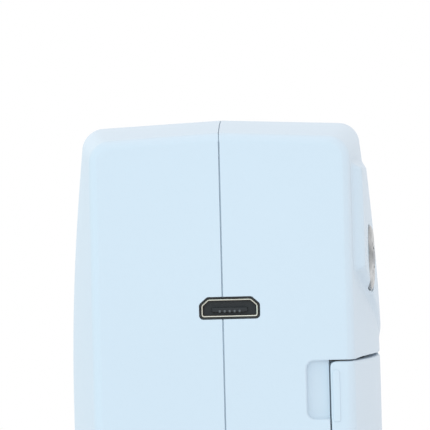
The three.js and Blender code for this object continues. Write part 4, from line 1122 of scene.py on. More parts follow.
class MACHINE_OT_casing(bpy.types.Operator):
    """Build both halves of the casing with their openings"""

    bl_idname = "machine.casing"
    bl_label = "Casing"

    def execute(self, context):
        form = Form()
        for side, name in ((-1, "left_shell"), (1, "right_shell")):
            solid, hollow = half_form(form, f"{name}_fine", side)
            if side > 0:
                wheel = node_box("handwheel")
                hub = node_middle("main_shaft")
                floor = wheel[0].x - form.gap
                carve(
                    hollow,
                    cylinder("wheel_backing", "x", (hub.y, hub.z), 14, floor - form.wall, 30, 48),
                )
            if side < 0:
                add_to(solid, rail(form, "rail", 0.3, 0.95, -1.2, 0.7))
            else:
                carve(solid, rail(form, "rail_groove", 0.24, 1.02, -1.0, 0.8))
            carve(solid, hollow, *self.shared(form, side))
            carve(solid, *(self.left(form) if side < 0 else self.right(form)))
            if side > 0:
                self.knuckle(solid)
                add_to(solid, self.stop(form))
            finished(solid, "casing", "casing", "casing_plastic", name, angle=28)
        return {"FINISHED"}

    def shared(self, form, side):
        """What both halves are cut by."""
        def flank(y, z):
            return side * form.surface(y, z, side)

        yield flared("throat", "x", throat_outline(form), -side, flank, side, 0.8)
        yield flared(
            "socket_hole", "y", socket_outline(0.24), form.rear + 4, lambda z, x: form.rear, -1, 0.08
        )
        foot, needle = node_middle("presser_bar"), node_middle("needle")
        yield block(
            "head_opening", (-8, 8), (foot.y - 4, needle.y + 11), (form.head_low - 1, form.head_low + 3)
        )
        low, high = node_box("needle_plate")
        gap = form.gap
        yield block(
            "plate_seat", (low.x - gap, high.x + gap), (low.y - gap, high.y + gap), (low.z - gap, high.z + 1)
        )
        yield block(
            "plate_opening", (low.x + 1.5, high.x - 1.5), (low.y + 1.5, high.y - 1.5),
            (form.bed_top - form.bed_wall - 1, form.bed_top),
        )
        yield flared(
            "button_hole", "z", self.button(gap), form.top(0) - 8,
            lambda x, y: form.top(y) - form.crown * abs(x) / 14, 1, 0.35,
        )
        for name in ("rear_foot", "front_foot"):
            low, high = node_box(name)
            yield block(
                name, (low.x - gap, high.x + gap), (low.y - gap, high.y + gap), (-1, high.z + gap)
            )

    @staticmethod
    def button(grow):
        middle = node_middle("power_button")
        half_x, half_y = 5.5 + grow, 8 + grow
        return rounded(
            rectangle((-half_x, half_x), (middle.y - half_y, middle.y + half_y)), 3 + grow, 6
        )

    def left(self, form):
        """The slider's slot, the screw pockets and the lamp's hole."""
        def flank(y, z):
            return -form.surface(y, z, -1)

        low, high = node_box("speed_slider")
        gap = form.gap
        slot = rectangle((low.y + 3 - gap, high.y - 3 + 5 + gap), (low.z + 2 - gap, high.z - 2 + gap))
        yield flared("slider_slot", "x", rounded(slot, 0.7), -12, flank, -1, 0.3)
        for number, place in enumerate(screw_places()):
            ring = circle((place.y, place.z), 2.6, 36)
            head = -form.half(place.y, place.z) + 1
            yield flared(f"screw_pocket_{number}", "x", ring, head, flank, -1, 0.3)
        lens = node_middle("lamp_lens")
        yield cylinder(
            "lamp_hole", "z", (lens.x, lens.y), 2.8, form.head_low - 1, form.head_low + form.wall + 1.5
        )

    def right(self, form):
        """The cover's opening, the nail recess, the wheel's recess and the bores."""
        def flank(y, z):
            return form.surface(y, z, 1)

        inner, _, low, high = cover_span()
        gap = form.cover_gap
        yield flared("door_side", "x", door_outline(form), inner - gap, flank, 1, 0.25)
        corner = rectangle((low - gap, high + gap), (inner - gap, 30))
        yield flared("door_back", "y", corner, form.rear + 1.2, lambda z, x: form.rear, -1, 0.16)
        yield self.nail(form, inner)
        wheel, hub = node_box("handwheel"), node_middle("main_shaft")
        floor = wheel[0].x - form.gap
        ring = circle((hub.y, hub.z), 12.6, 96)
        yield flared("wheel_recess", "x", ring, floor, flank, 1, 0.5)
        yield cylinder("bush_hole", "x", (hub.y, hub.z), 3.7, floor - 4, floor + 1)
        joint = next(j for j in frame["joints"] if j["name"] == "lift_lever_turn")
        _, lever_y, lever_z = Vector(joint["pos_m"]) / MM
        yield flared("lever_hole", "x", circle((lever_y, lever_z), 1.8, 24), 5, flank, 1, 0.3)
        tilt = tension_frame()
        disc = [
            (0, -1.3), (4.38, -1.3), (4.38, -0.3), (4.42, -0.1), (4.5, 0.05), (4.65, 0.25), (4.65, 3), (0, 3),
        ]
        yield moved(turned("disc_recess", "x", (0, 0), disc, 64), tilt)
        yield moved(cylinder("stud_hole", "x", (0, 0), 1.5, -7, 1), tilt)

    def nail(self, form, inner):
        """A hollow with a rolled rim and a dished floor, open towards the cover."""
        foot = node_middle("usb_shell").z - 14.8
        outline = rounded(
            rectangle((foot, foot + 7.6), (inner - form.nail_width, inner + 2.2)), [1, 1, 1, 1], 6
        )
        roll, dish = 0.3, form.nail_depth - 0.3
        turns = [math.radians(turn) for turn in range(0, 91, 15)]
        layers = [(grown(outline, roll), form.rear - 1)]
        layers += [
            (grown(outline, roll * (1 - math.sin(t))), form.rear + roll * (1 - math.cos(t))) for t in turns
        ]
        layers += [
            (grown(outline, -dish * (1 - math.cos(t))), form.rear + roll + dish * math.sin(t))
            for t in turns[1:]
        ]
        return stack("nail_recess", "y", layers)

    @staticmethod
    def stop(form):
        """The ledge behind the cover's free edge."""
        inner, _, low, high = cover_span()
        back = form.rear + form.cover_thickness
        return block("stop", (inner - 1.5, inner + 0.9), (back + 0.25, back + 1.1), (low, high))

    def knuckle(self, solid):
        """The casing's hinge barrel, between the cover's two."""
        pin = node_middle("cover_hinge_pin")
        _, _, low, high = cover_span()
        span = (low + 8.3, high - 8.3)
        barrel = cylinder("barrel", "z", (pin.x, pin.y), 1.7, *span, 32)
        web = block("web", (pin.x - 1, pin.x + 1), (pin.y, pin.y + 2.7), span)
        bore = cylinder("bore", "z", (pin.x, pin.y), 1.1, low, high, 24)
        add_to(solid, barrel, web)
        carve(solid, bore)


class MACHINE_OT_cover(bpy.types.Operator):
    """Build the thread cover with its rolled edges, thumb lip and hinge barrels"""

    bl_idname = "machine.cover"
    bl_label = "Thread Cover"

    def execute(self, context):
        form = Form()
        inner, front, low, high = cover_span()
        roll = 0.35
        heights = []
        turns = [math.radians(turn) for turn in range(0, 91, 15)]
        for turn in turns:
            heights.append((low + roll * (1 - math.cos(turn)), roll * (1 - math.sin(turn))))
        count = 40
        start, end = low + roll, high - roll
        for step in range(1, count):
            share = step / count
            eased = 0.5 - 0.5 * math.cos(math.pi * share)
            heights.append((start + (end - start) * eased, 0.0))
        for turn in reversed(turns):
            heights.append((high - roll * (1 - math.cos(turn)), roll * (1 - math.sin(turn))))
        rings = [self.ring(form, z, shrink, inner, front, low, high) for z, shrink in heights]
        cover = loft("thread_cover_fine", rings)
        lip = self.lip(form, inner, high)
        cover = joined("thread_cover_fine", cover, lip, *self.barrels(low, high))
        finished(cover, "cover", "casing", "casing_plastic", "thread_cover", angle=30)
        return {"FINISHED"}

    @staticmethod
    def corner(form, z, low, high):
        """How far a rounded corner pulls an edge in at a height."""
        radius = form.cover_corner
        past = max(low + radius - z, z - (high - radius), 0.0)
        return radius - math.sqrt(max(0.0, radius**2 - past**2))

    def ring(self, form, z, shrink, inner, front, low, high):
        pull = self.corner(form, z, low, high)
        start, end = inner + pull + shrink, front - pull - shrink
        edge = form.edge_radius
        side = form.half(form.rear, z)
        path = [(start + (side - edge - start) * share, form.rear) for share in (0, 0.2, 0.5, 0.8, 1)]
        for turn in range(10, 90, 10):
            angle = math.radians(turn)
            y = form.rear + edge * (1 - math.cos(angle))
            path.append((form.half(y, z) - edge * (1 - math.sin(angle)), y))
        first = form.rear + edge
        path += [
            (form.half(first + (end - first) * step / 26, z), first + (end - first) * step / 26)
            for step in range(27)
        ]
        points = [Vector(point) for point in path]
        normals = []
        for index, point in enumerate(points):
            before, after = points[max(0, index - 1)], points[min(len(points) - 1, index + 1)]
            run = (after - before).normalized()
            normals.append(Vector((run.y, -run.x)))
        thick = form.cover_thickness
        outer = [point - normal * shrink for point, normal in zip(points, normals)]
        under = [point - normal * (thick - shrink) for point, normal in zip(points, normals)]
        bead = 0.22
        soft = self.softened_ends(outer, under, bead)
        return [Vector((x, y, z)) for x, y in soft]

    @staticmethod
    def softened_ends(outer, under, bead):
        """The closed ring with both ends of its outer face rounded."""
        def round_end(face, back):
            along_face = (face[1] - face[0]).normalized()
            down = (back[0] - face[0]).normalized()
            centre = face[0] + (along_face + down) * bead
            return [
                centre - along_face * bead * math.cos(t) - down * bead * math.sin(t)
                for t in (math.radians(turn) for turn in (0, 22.5, 45, 67.5, 90))
            ]

        start = round_end(outer, under)
        end = round_end(outer[::-1], under[::-1])[::-1]
        return start + outer[1:-1] + end + under[::-1]

    @staticmethod
    def lip(form, inner, high):
        """A low raised lip for the thumb."""
        outline = rounded(
            rectangle((high - 7.9, high - 1.1), (inner + 0.24, inner + 1.2)), [0.25, 0.45, 0.45, 0.25], 5
        )
        rise, roll = 0.14, 0.14
        layers = [(outline, form.rear + 0.5), (outline, form.rear)]
        layers += [
            (grown(outline, -roll * (1 - math.cos(t))), form.rear - rise * math.sin(t))
            for t in (math.radians(turn) for turn in (30, 60, 90))
        ]
        return stack("thumb_lip", "y", layers)

    @staticmethod
    def barrels(low, high):
        pin = node_middle("cover_hinge_pin")
        profile = [(1.1, 0), (1.7, 0), (1.7, 6), (1.1, 6)]
        for start in (low + 2, high - 8):
            ring = [(radius, start + place) for radius, place in profile]
            yield turned("barrel", "z", (pin.x, pin.y), softened(ring, 0.12, 3), 40)
            yield slab(
                "leaf", "z", rectangle((pin.x - 0.4, pin.x + 1.3), (pin.y - 3.2, pin.y - 1.15)), start,
                start + 6, 0.1, 2,
            )


# ------------------------------------------------------------------ socket, tension and controls


class MACHINE_OT_socket(bpy.types.Operator):
    """Build the charging socket: plated shell, black moulding, tongue and contacts"""

    bl_idname = "machine.socket"
    bl_label = "Charging Socket"

    def execute(self, context):
        low, high = node_box("usb_shell")
        front, back = low.y, high.y
        wall, rim = 0.24, 0.1
        layers = [(socket_outline(0), back), (socket_outline(0), front + rim)]
        layers += [
            (socket_outline(-wall / 2 * (1 - math.cos(t))), front + rim * (1 - math.sin(t)))
            for t in (math.radians(turn) for turn in (30, 60, 90))
        ]
        layers += [
            (socket_outline(-wall + wall / 2 * (1 - math.sin(t)), 0.2), front + rim * (1 - math.cos(t)))
            for t in (math.radians(turn) for turn in (0, 30, 60, 90))
        ]
        layers.append((socket_outline(-wall, 0.2), back - 0.3))
        finished(stack("usb_shell_fine", "y", layers), "casing", "socket_metal", "socket_metal", "usb_shell")
        self.moulding(front, back, wall)
        return {"FINISHED"}

    def moulding(self, front, back, wall):
        """A black ring filling the gap round the shell, so that the gap shows black, and the black filling, with the
        tongue standing out of it.
        """
        form = Form()
        gap = 0.24
        # a black ring fills the gap between the casing's hole and the shell, nearly flush with the rear face, so the
        # gap shows black
        surround = stack(
            "surround",
            "y",
            [
                (socket_outline(gap), form.rear + 2.2),
                (socket_outline(gap), form.rear + 0.11),
                (socket_outline(gap - 0.05), form.rear + 0.05),
                (socket_outline(0.05), form.rear + 0.07),
                (socket_outline(0.02), form.rear + 0.2),
                (socket_outline(0.02), form.rear + 2.1),
            ],
        )
        filling = slab(
            "filling", "y", socket_outline(-wall - 0.02, 0.2), front + 1.0, back - 0.4, 0.05, 2
        )
        low, high = node_box("usb_tongue")
        tongue = slab(
            "tongue", "y", rectangle((low.z, high.z), (low.x, high.x)), front + 0.35, back - 0.6, 0.08, 2
        )
        piece = joined("usb_tongue_fine", surround, filling, tongue)
        finished(piece, "casing", "socket_tongue", "black_plastic", "usb_tongue")
        middle = (low.x + high.x) / 2
        pads = [
            slab(
                f"contact_{number}",
                "y",
                rectangle((low.z - 0.04, low.z + 0.28), (x - 0.13, x + 0.13)),
                front + 0.28,
                back - 0.8,
                0.04,
                2,
            )
            for number, x in enumerate(middle + 0.65 * step for step in range(-2, 3))
        ]
        finished(joined("socket_contacts", *pads), "casing", "socket_metal", "contact_metal")


class MACHINE_OT_tension(bpy.types.Operator):
    """Build the thread tension discs, dial and stud"""

    bl_idname = "machine.tension"
    bl_label = "Thread Tension"

    def execute(self, context):
        tilt = tension_frame()
        radius = 4.3
        for name, face in (("tension_disc_inner", -1.1), ("tension_disc_outer", -0.6)):
            back = face + 0.4
            profile = [(1.5, face), (radius, face), (radius, face + 0.36), (radius - 0.9, back), (1.5, back)]
            disc = turned(f"{name}_fine", "x", (0, 0), softened(profile, [0, 0.1, 0.1, 0.3, 0], 4), 96)
            finished(moved(disc, tilt), "casing", "bright_metal", "spun_metal", name)
        dial = [
            (1.5, -0.1), (radius, -0.1), (radius, 0.36), (radius - 0.6, 0.6),
            (2.4, 0.5), (2.1, 0.68), (1.5, 0.68),
        ]
        dial = softened(dial, [0, 0.08, 0.14, 0.3, 0.2, 0.08, 0], 4)
        piece = turned("tension_dial_fine", "x", (0, 0), dial, 96)
        finished(moved(piece, tilt), "dial", "bright_metal", "spun_metal", "tension_dial")
        stud = [(0, -6.7), (1.2, -6.7), (1.2, 0.6), (0.9, 0.82), (0, 0.86)]
        piece = turned("tension_stud_fine", "x", (0, 0), softened(stud, [0, 0.1, 0.15, 0.15, 0], 3), 40)
        finished(moved(piece, tilt), "casing", "steel", "bar_steel", "tension_stud")
        return {"FINISHED"}


class MACHINE_OT_controls(bpy.types.Operator):
    """Build the handwheel, power button, speed slider, lift lever and lamp lens"""

    bl_idname = "machine.controls"
    bl_label = "Controls"

    def execute(self, context):
        self.handwheel()
        self.button()
        self.slider()
        self.lever()
        self.lens()
        return {"FINISHED"}

    def handwheel(self):
        low, high = node_box("handwheel")
        hub = node_middle("main_shaft")
        middle = (hub.y, hub.z)
        outer = 12.0
        teeth = 40
        points = []
        for step in range(teeth * 6):
            turn = 2 * math.pi * step / (teeth * 6)
            bite = 0.32 * max(0.0, math.cos(turn * teeth)) ** 0.6
            reach = outer - bite
            points.append((middle[0] + reach * math.cos(turn), middle[1] + reach * math.sin(turn)))
        rim = slab("handwheel_fine", "x", points, low.x, high.x, 0.28, 3)
        dish = [
            (0, high.x - 0.9), (9.6, high.x - 0.9), (10.2, high.x - 0.7), (10.5, high.x + 1), (0, high.x + 1),
        ]
        carve(rim, turned("dish", "x", middle, softened(dish, [0, 0.8, 0.3, 0, 0], 4), 96))
        boss = [(0, high.x - 1.2), (4.4, high.x - 1.2), (4.1, high.x), (0, high.x)]
        add_to(rim, turned("boss", "x", middle, softened(boss, [0, 0, 0.3, 0], 4), 64))
        dimple = circle((middle[0] + 7.1, middle[1]), 2.0, 40)
        carve(rim, cylinder("bore", "x", middle, 2.3, low.x - 1, high.x + 1, 48))
        carve(rim, flared("finger_dimple", "x", dimple, high.x - 1.6, lambda y, z: high.x - 0.9, 1, 0.3))
        finished(rim, "main_shaft", "trim", "trim_plastic", "handwheel", angle=28)
        shaft_low, shaft_high = node_box("main_shaft")
        shaft = [(0, shaft_low.x), (2, shaft_low.x), (2, shaft_high.x), (0, shaft_high.x)]
        rod = turned("main_shaft_fine", "x", middle, softened(shaft, [0, 0.2, 0.3, 0], 4), 48)
        finished(rod, "main_shaft", "steel", "bar_steel", "main_shaft")

    def button(self):
        low, high = node_box("power_button")
        middle = (low + high) / 2
        half_x, half_y = 5.5, 8.0

        def outline(grow):
            wide, long = half_x + grow, half_y + grow
            return rounded(rectangle((-wide, wide), (middle.y - long, middle.y + long)), 3 + grow, 8)

        flange = rounded(rectangle((low.x, high.x), (low.y, high.y)), 0.5, 3)
        body = slab("power_button_fine", "z", flange, low.z, low.z + 1.4, 0.1, 2)
        crown = [(outline(0), low.z + 0.5), (outline(0), high.z - 1.0)]
        crown += [
            (outline(-0.9 * (1 - math.cos(t))), high.z - 1.0 + 0.9 * math.sin(t))
            for t in (math.radians(turn) for turn in range(15, 91, 15))
        ]
        hollow = ((-1.6, 0.08), (-2.2, 0.3), (-2.9, 0.42))
        crown += [(outline(grow), high.z - deep) for grow, deep in hollow]
        piece = joined("power_button_fine", body, stack("crown", "z", crown))
        finished(piece, "button", "trim", "trim_plastic", "power_button", angle=40)
        ring = [(1.5, 0), (2.1, 0), (2.1, 0.22), (1.5, 0.22)]
        place = (0.0, middle.y)
        mark = turned(
            "button_ring", "z", place, [(r, high.z - 0.5 + h) for r, h in softened(ring, 0.08, 3)], 64
        )
        finished(mark, "button", "bright_metal", "bright_metal")

    def slider(self):
        low, high = node_box("speed_slider")
        plate = slab(
            "speed_slider_fine", "x", rounded(rectangle((low.y, high.y), (low.z, high.z)), 0.8, 4),
            high.x - 1, high.x, 0.1, 2,
        )
        y, z = (low.y + 3, high.y - 3), (low.z + 2, high.z - 2)
        knob = slab("knob", "x", rounded(rectangle(y, z), 0.6, 5), high.x - 0.5, low.x + 0.35, 0.35, 4)
        ribs = [
            slab(
                "rib",
                "x",
                rounded(rectangle((place - 0.3, place + 0.3), (z[0] + 0.35, z[1] - 0.35)), 0.28, 4),
                low.x + 0.8,
                low.x,
                0.18,
                3,
            )
            for place in (y[0] + 1.1, (y[0] + y[1]) / 2, y[1] - 1.1)
        ]
        piece = joined("speed_slider_fine", plate, knob, *ribs)
        finished(piece, "slider", "trim", "trim_plastic", "speed_slider", angle=40)

    def lever(self):
        high = node_box("presser_lever")[1]
        joint = next(j for j in frame["joints"] if j["name"] == "lift_lever_turn")
        _, y, z = Vector(joint["pos_m"]) / MM
        face = high.x - 2.4
        handle = rounded(
            [(y - 17, z - 5), (y + 3, z - 3.5), (y + 3.5, z + 3.5), (y - 4, z + 3.5), (y - 17, z - 0.5)],
            [1.9, 2.6, 2.6, 3.5, 1.9], 8,
        )
        arm = slab("presser_lever_fine", "x", handle, face, high.x, 0.55, 5)
        for step in range(4):
            place = y - 15 + 1.9 * step
            groove = cylinder("groove", "z", (high.x + 0.35, place), 0.6, z - 12, z + 12, 20)
            carve(arm, groove)
        shaft = cylinder("lever_shaft", "x", (y, z), 1.5, 0.6, face + 1, 32)
        lobe = slab("lobe", "x", rectangle((y, y + 3.65), (z - 1.5, z + 1.5)), 0.6, 2.6, 0.2, 2)
        hub = stack(
            "hub", "x",
            [(circle((y, z), 2.6, 48), high.x - 0.5), (circle((y, z), 2.6, 48), high.x),
             (circle((y, z), 2.45, 48), high.x + 0.2), (circle((y, z), 2.1, 48), high.x + 0.28)],
        )
        piece = joined("presser_lever_fine", arm, shaft, lobe, hub)
        finished(piece, "lift_lever", "trim", "trim_plastic", "presser_lever", angle=35)

    def lens(self):
        low, high = node_box("lamp_lens")
        middle = (low + high) / 2
        profile = [(0, low.z)]
        profile += [
            (2.5 * math.sin(t), low.z + 0.9 * (1 - math.cos(t)))
            for t in (math.radians(turn) for turn in range(15, 91, 15))
        ]
        profile += [(2.5, high.z), (0, high.z)]
        piece = turned("lamp_lens_fine", "z", (middle.x, middle.y), profile, 64)
        finished(piece, "casing", "lens", "clear_lens", "lamp_lens")


# ------------------------------------------------------------------ needle, foot and bed


class MACHINE_OT_needle(bpy.types.Operator):
    """Build the needle bar, clamp, thumb screw and needle"""

    bl_idname = "machine.needle"
    bl_label = "Needle Bar"

    def execute(self, context):
        middle = node_middle("needle")
        place = (middle.x, middle.y)
        low, high = node_box("needle_bar")
        bar = [(0, low.z), (2, low.z), (2, high.z), (0, high.z)]
        piece = turned("needle_bar_fine", "z", place, softened(bar, [0, 0.2, 0.4, 0], 4), 48)
        finished(piece, "needle_drive", "bright_metal", "bright_metal", "needle_bar")
        low, high = node_box("needle_clamp")
        clamp = [
            (1.1, low.z), (2.7, low.z), (3.2, low.z + 1.0), (3.6, low.z + 1.2), (3.6, high.z - 1.6),
            (3.2, high.z - 1.4), (3.2, high.z), (2.3, high.z), (2.3, high.z - 2.8), (1.1, high.z - 2.8),
        ]
        radii = [0.1, 0.3, 0.15, 0.2, 0.2, 0.1, 0.3, 0.1, 0, 0]
        piece = turned("needle_clamp_fine", "z", place, softened(clamp, radii, 4), 64)
        finished(piece, "needle_drive", "bright_metal", "bright_metal", "needle_clamp")
        self.screw()
        low, high = node_box("needle")
        profile = [
            (0, low.z), (0.1, low.z + 0.35), (0.28, low.z + 1.3), (0.45, low.z + 3.2), (0.48, high.z - 9),
            (0.8, high.z - 8), (0.8, high.z), (0, high.z),
        ]
        profile = softened(profile, [0, 0, 0.3, 0.5, 0.3, 0.3, 0.15, 0], 3)
        needle = turned("needle_fine", "z", place, profile, 40)
        eye = rounded(rectangle((place[0] - 0.2, place[0] + 0.2), (low.z + 3.2, low.z + 4.9)), 0.19, 5)
        hole = slab("eye", "y", [(z, x) for x, z in eye], place[1] - 2, place[1] + 2)
        carve(needle, hole)
        finished(needle, "needle_drive", "bright_metal", "bright_metal", "needle")
        return {"FINISHED"}

    def screw(self):
        low, high = node_box("needle_clamp_screw")
        middle = (low + high) / 2
        place = (middle.z, middle.x)
        head = high.y - 3
        stem = turned(
            "stem", "y", place, [(0, low.y), (1.2, low.y), (1.2, head + 0.5), (0, head + 0.5)], 32
        )
        teeth = 22
        outline = []
        for step in range(teeth * 6):
            turn = 2 * math.pi * step / (teeth * 6)
            radius = 2.2 - 0.18 * max(0.0, math.cos(turn * teeth))
            outline.append((place[0] + radius * math.cos(turn), place[1] + radius * math.sin(turn)))
        knob = slab("needle_clamp_screw_fine", "y", outline, head, high.y, 0.25, 3)
        slot = slab(
            "slot", "y", rectangle((place[0] - 0.25, place[0] + 0.25), (place[1] - 3, place[1] + 3)),
            high.y - 0.6, high.y + 1,
        )
        carve(knob, slot)
        piece = joined("needle_clamp_screw_fine", knob, stem)
        finished(piece, "needle_drive", "bright_metal", "bright_metal", "needle_clamp_screw", angle=30)


class MACHINE_OT_foot(bpy.types.Operator):
    """Build the presser bar and its foot with turned-up toes"""

    bl_idname = "machine.foot"
    bl_label = "Presser Foot"

    def execute(self, context):
        low, high = node_box("presser_bar")
        middle = (low + high) / 2
        place = (middle.x, middle.y)
        collar = next(j for j in frame["joints"] if j["name"] == "lift_lever_turn")["pos_m"][2] / MM + 1.8
        profile = [
            (0, low.z), (1.75, low.z), (1.75, collar), (2.9, collar), (2.9, collar + 2.8),
            (1.75, collar + 2.8), (1.75, high.z), (0, high.z),
        ]
        piece = turned(
            "presser_bar_fine", "z", place, softened(profile, [0, 0.2, 0.1, 0.3, 0.3, 0.1, 0.35, 0], 4), 48
        )
        finished(piece, "presser", "bright_metal", "bright_metal", "presser_bar")
        self.foot(place)
        return {"FINISHED"}

    def foot(self, place):
        low, high = node_box("presser_foot")
        thick = 1.6
        needle = node_middle("needle").y
        sole = rounded(rectangle((low.x, high.x), (low.y, high.y)), 2.5, 8)
        plate = slab("presser_foot_fine", "z", sole, low.z, low.z + thick, 0.28, 3)
        slot = rounded(rectangle((-4.2, 4.2), (needle - 5, high.y + 4)), 1.5, 6)
        carve(plate, flared("toe_slot", "z", slot, low.z - 1, lambda x, y: low.z + thick, 1, 0.25))
        toe = rotated_block((low.x - 1, high.x + 1), (high.y - 3.2, high.y + 2), (low.z - 2, low.z), 14)
        carve(plate, toe)
        stem = slab(
            "stem", "z", rounded(rectangle((-3.2, 3.2), (place[1] - 3.2, place[1] + 3.2)), 0.8, 4),
            low.z + 0.8, high.z, 0.3, 3,
        )
        bore = cylinder("bore", "z", place, 2.05, high.z - 2.8, high.z + 1, 40)
        carve(stem, bore)
        screw = turned(
            "set_screw", "x", (place[1], high.z - 1.7),
            softened([(0, 2.4), (1.2, 2.4), (1.2, 4.2), (0, 4.2)], [0, 0, 0.25, 0], 4), 32,
        )
        piece = joined("presser_foot_fine", plate, stem, screw)
        finished(piece, "presser", "bright_metal", "bright_metal", "presser_foot", angle=30)


def rotated_block(x, y, z, degrees):
    """A block tipped about X by its upper rear edge, to cut the toes' upturned tips."""
    piece = block("tip", x, y, z)
    pivot = Vector((0, y[0], z[1]))
    turn = Matrix.Rotation(math.radians(degrees), 4, "X")
    return moved(piece, Matrix.Translation(pivot) @ turn @ Matrix.Translation(-pivot))


class MACHINE_OT_bed(bpy.types.Operator):
    """Build the needle plate and the feed dog"""

    bl_idname = "machine.bed"
    bl_label = "Bed"

    def execute(self, context):
        low, high = node_box("needle_plate")
        needle = node_middle("needle").y
        outline = rounded(rectangle((low.x, high.x), (low.y, high.y)), 1.5, 6)
        plate = slab("needle_plate_fine", "z", outline, low.z, high.z, 0.18, 3)

        def top(x, y):
            return high.z

        for x in (-5.4, 5.4):
            slot = rectangle((x - 1.1, x + 1.1), (needle - 8.5, needle + 8.5))
            carve(plate, flared("feed_slot", "z", rounded(slot, 0.3, 4), low.z - 1, top, 1, 0.12))
        hole = rounded(rectangle((-1.2, 1.2), (needle - 2, needle + 2)), 1.1, 8)
        carve(plate, flared("needle_hole", "z", hole, low.z - 1, top, 1, 0.2))
        for x in (-7.44, 7.44):
            for y in (low.y + 2.2, high.y - 1.9):
                seat = circle((x, y), 0.95, 32)
                carve(plate, flared("screw_seat", "z", seat, high.z - 0.5, top, 1, 0.25))
        for out in (7.0, 7.7, 8.4):
            for x in (-out, out):
                line = rectangle((x - 0.06, x + 0.06), (needle - 4, needle + 2))
                carve(plate, slab("gauge_line", "z", line, high.z - 0.08, high.z + 1))
        finished(plate, "casing", "bright_metal", "bright_metal", "needle_plate", angle=30)
        refined("feed_dog", "bar_steel", "feed", "steel", 0.05)
        return {"FINISHED"}


# ------------------------------------------------------------------ thread, feet and screws


class MACHINE_OT_thread(bpy.types.Operator):
    """Build the spool, its winding, pin and cap, the tray, and the wire guides"""

    bl_idname = "machine.thread"
    bl_label = "Thread"

    def execute(self, context):
        low, high = node_box("thread_spool")
        middle = (low + high) / 2
        place = (middle.y, middle.z)
        reel = [
            (2.7, low.x), (12.8, low.x), (13.5, low.x + 0.4), (13.5, low.x + 0.9), (12.6, low.x + 1.2),
            (4.5, low.x + 1.2), (4.5, high.x - 1.2), (12.6, high.x - 1.2), (13.5, high.x - 0.9),
            (13.5, high.x - 0.4), (12.8, high.x), (2.7, high.x),
        ]
        radii = [0.1, 0.4, 0.2, 0.2, 0.2, 0.3, 0.3, 0.2, 0.2, 0.2, 0.4, 0.1]
        piece = turned("thread_spool_fine", "x", place, softened(reel, radii, 3), 96)
        finished(piece, "spool", "spool_plastic", "trim_plastic", "thread_spool")
        self.winding(place)
        low, high = node_box("spool_cap")
        cap = [(2.7, low.x), (4.6, low.x), (4.6, high.x - 0.5), (3.9, high.x), (2.7, high.x)]
        piece = turned("spool_cap_fine", "x", place, softened(cap, [0.1, 0.15, 0.3, 0.3, 0.1], 4), 64)
        finished(piece, "casing", "spool_plastic", "trim_plastic", "spool_cap")
        low, high = node_box("spool_pin")
        pin = [
            (0, low.x), (4.9, low.x), (4.9, low.x + 1.1), (2.4, low.x + 1.1), (2.4, high.x - 0.5),
            (1.9, high.x), (0, high.x),
        ]
        piece = turned("spool_pin_fine", "x", place, softened(pin, [0, 0.2, 0.2, 0.2, 0.2, 0.2, 0], 4), 48)
        finished(piece, "casing", "nylon", "nylon", "spool_pin")
        refined("spool_tray", "nylon", "casing", "nylon", 0.2)
        for name in ("rear_thread_guide", "front_thread_guide"):
            self.guide(name)
        return {"FINISHED"}

    def winding(self, place):
        """Crossed layers of thread: a barrel with the turns standing out of it."""
        low, high = node_box("thread_winding")
        turns = 30
        pitch = (high.x - low.x) / turns
        profile = [(4.8, low.x), (11.4, low.x)]
        for turn in range(turns):
            start = low.x + pitch * turn
            crown = 11.5 + 0.45 * math.sin(math.pi * (turn + 0.5) / turns)
            profile += [(crown - 0.12, start + pitch * 0.05), (crown, start + pitch * 0.5)]
        profile += [(11.4, high.x), (4.8, high.x)]
        piece = turned("thread_winding_fine", "x", place, profile, 96)
        finished(piece, "spool", "thread", "wound_thread", "thread_winding", angle=60, weighted=False)

    def guide(self, name):
        """A bent wire staple with rounded feet."""
        low, high = node_box(name)
        middle = (low + high) / 2
        wire = 0.65
        reach = high.x - wire - low.x
        half = (high.y - low.y) / 2 - wire
        path = [(low.x - 0.5, -half), (low.x + reach - half, -half)]
        path += [
            (low.x + reach - half + half * math.cos(t), half * math.sin(t))
            for t in (math.radians(turn) for turn in range(-80, 81, 10))
        ]
        path += [(low.x + reach - half, half), (low.x - 0.5, half)]
        rings = []
        for index, (x, y) in enumerate(path):
            here = Vector((x, y))
            before, after = Vector(path[max(0, index - 1)]), Vector(path[min(len(path) - 1, index + 1)])
            run = (after - before).normalized()
            side = Vector((run.y, -run.x))
            ring = []
            for turn in range(20):
                angle = 2 * math.pi * turn / 20
                spot = here + side * wire * math.cos(angle)
                ring.append(Vector((spot.x, middle.y + spot.y, middle.z + wire * math.sin(angle))))
            rings.append(ring)
        piece = loft(f"{name}_fine", rings)
        finished(piece, "casing", "bright_metal", "bright_metal", name, angle=50)


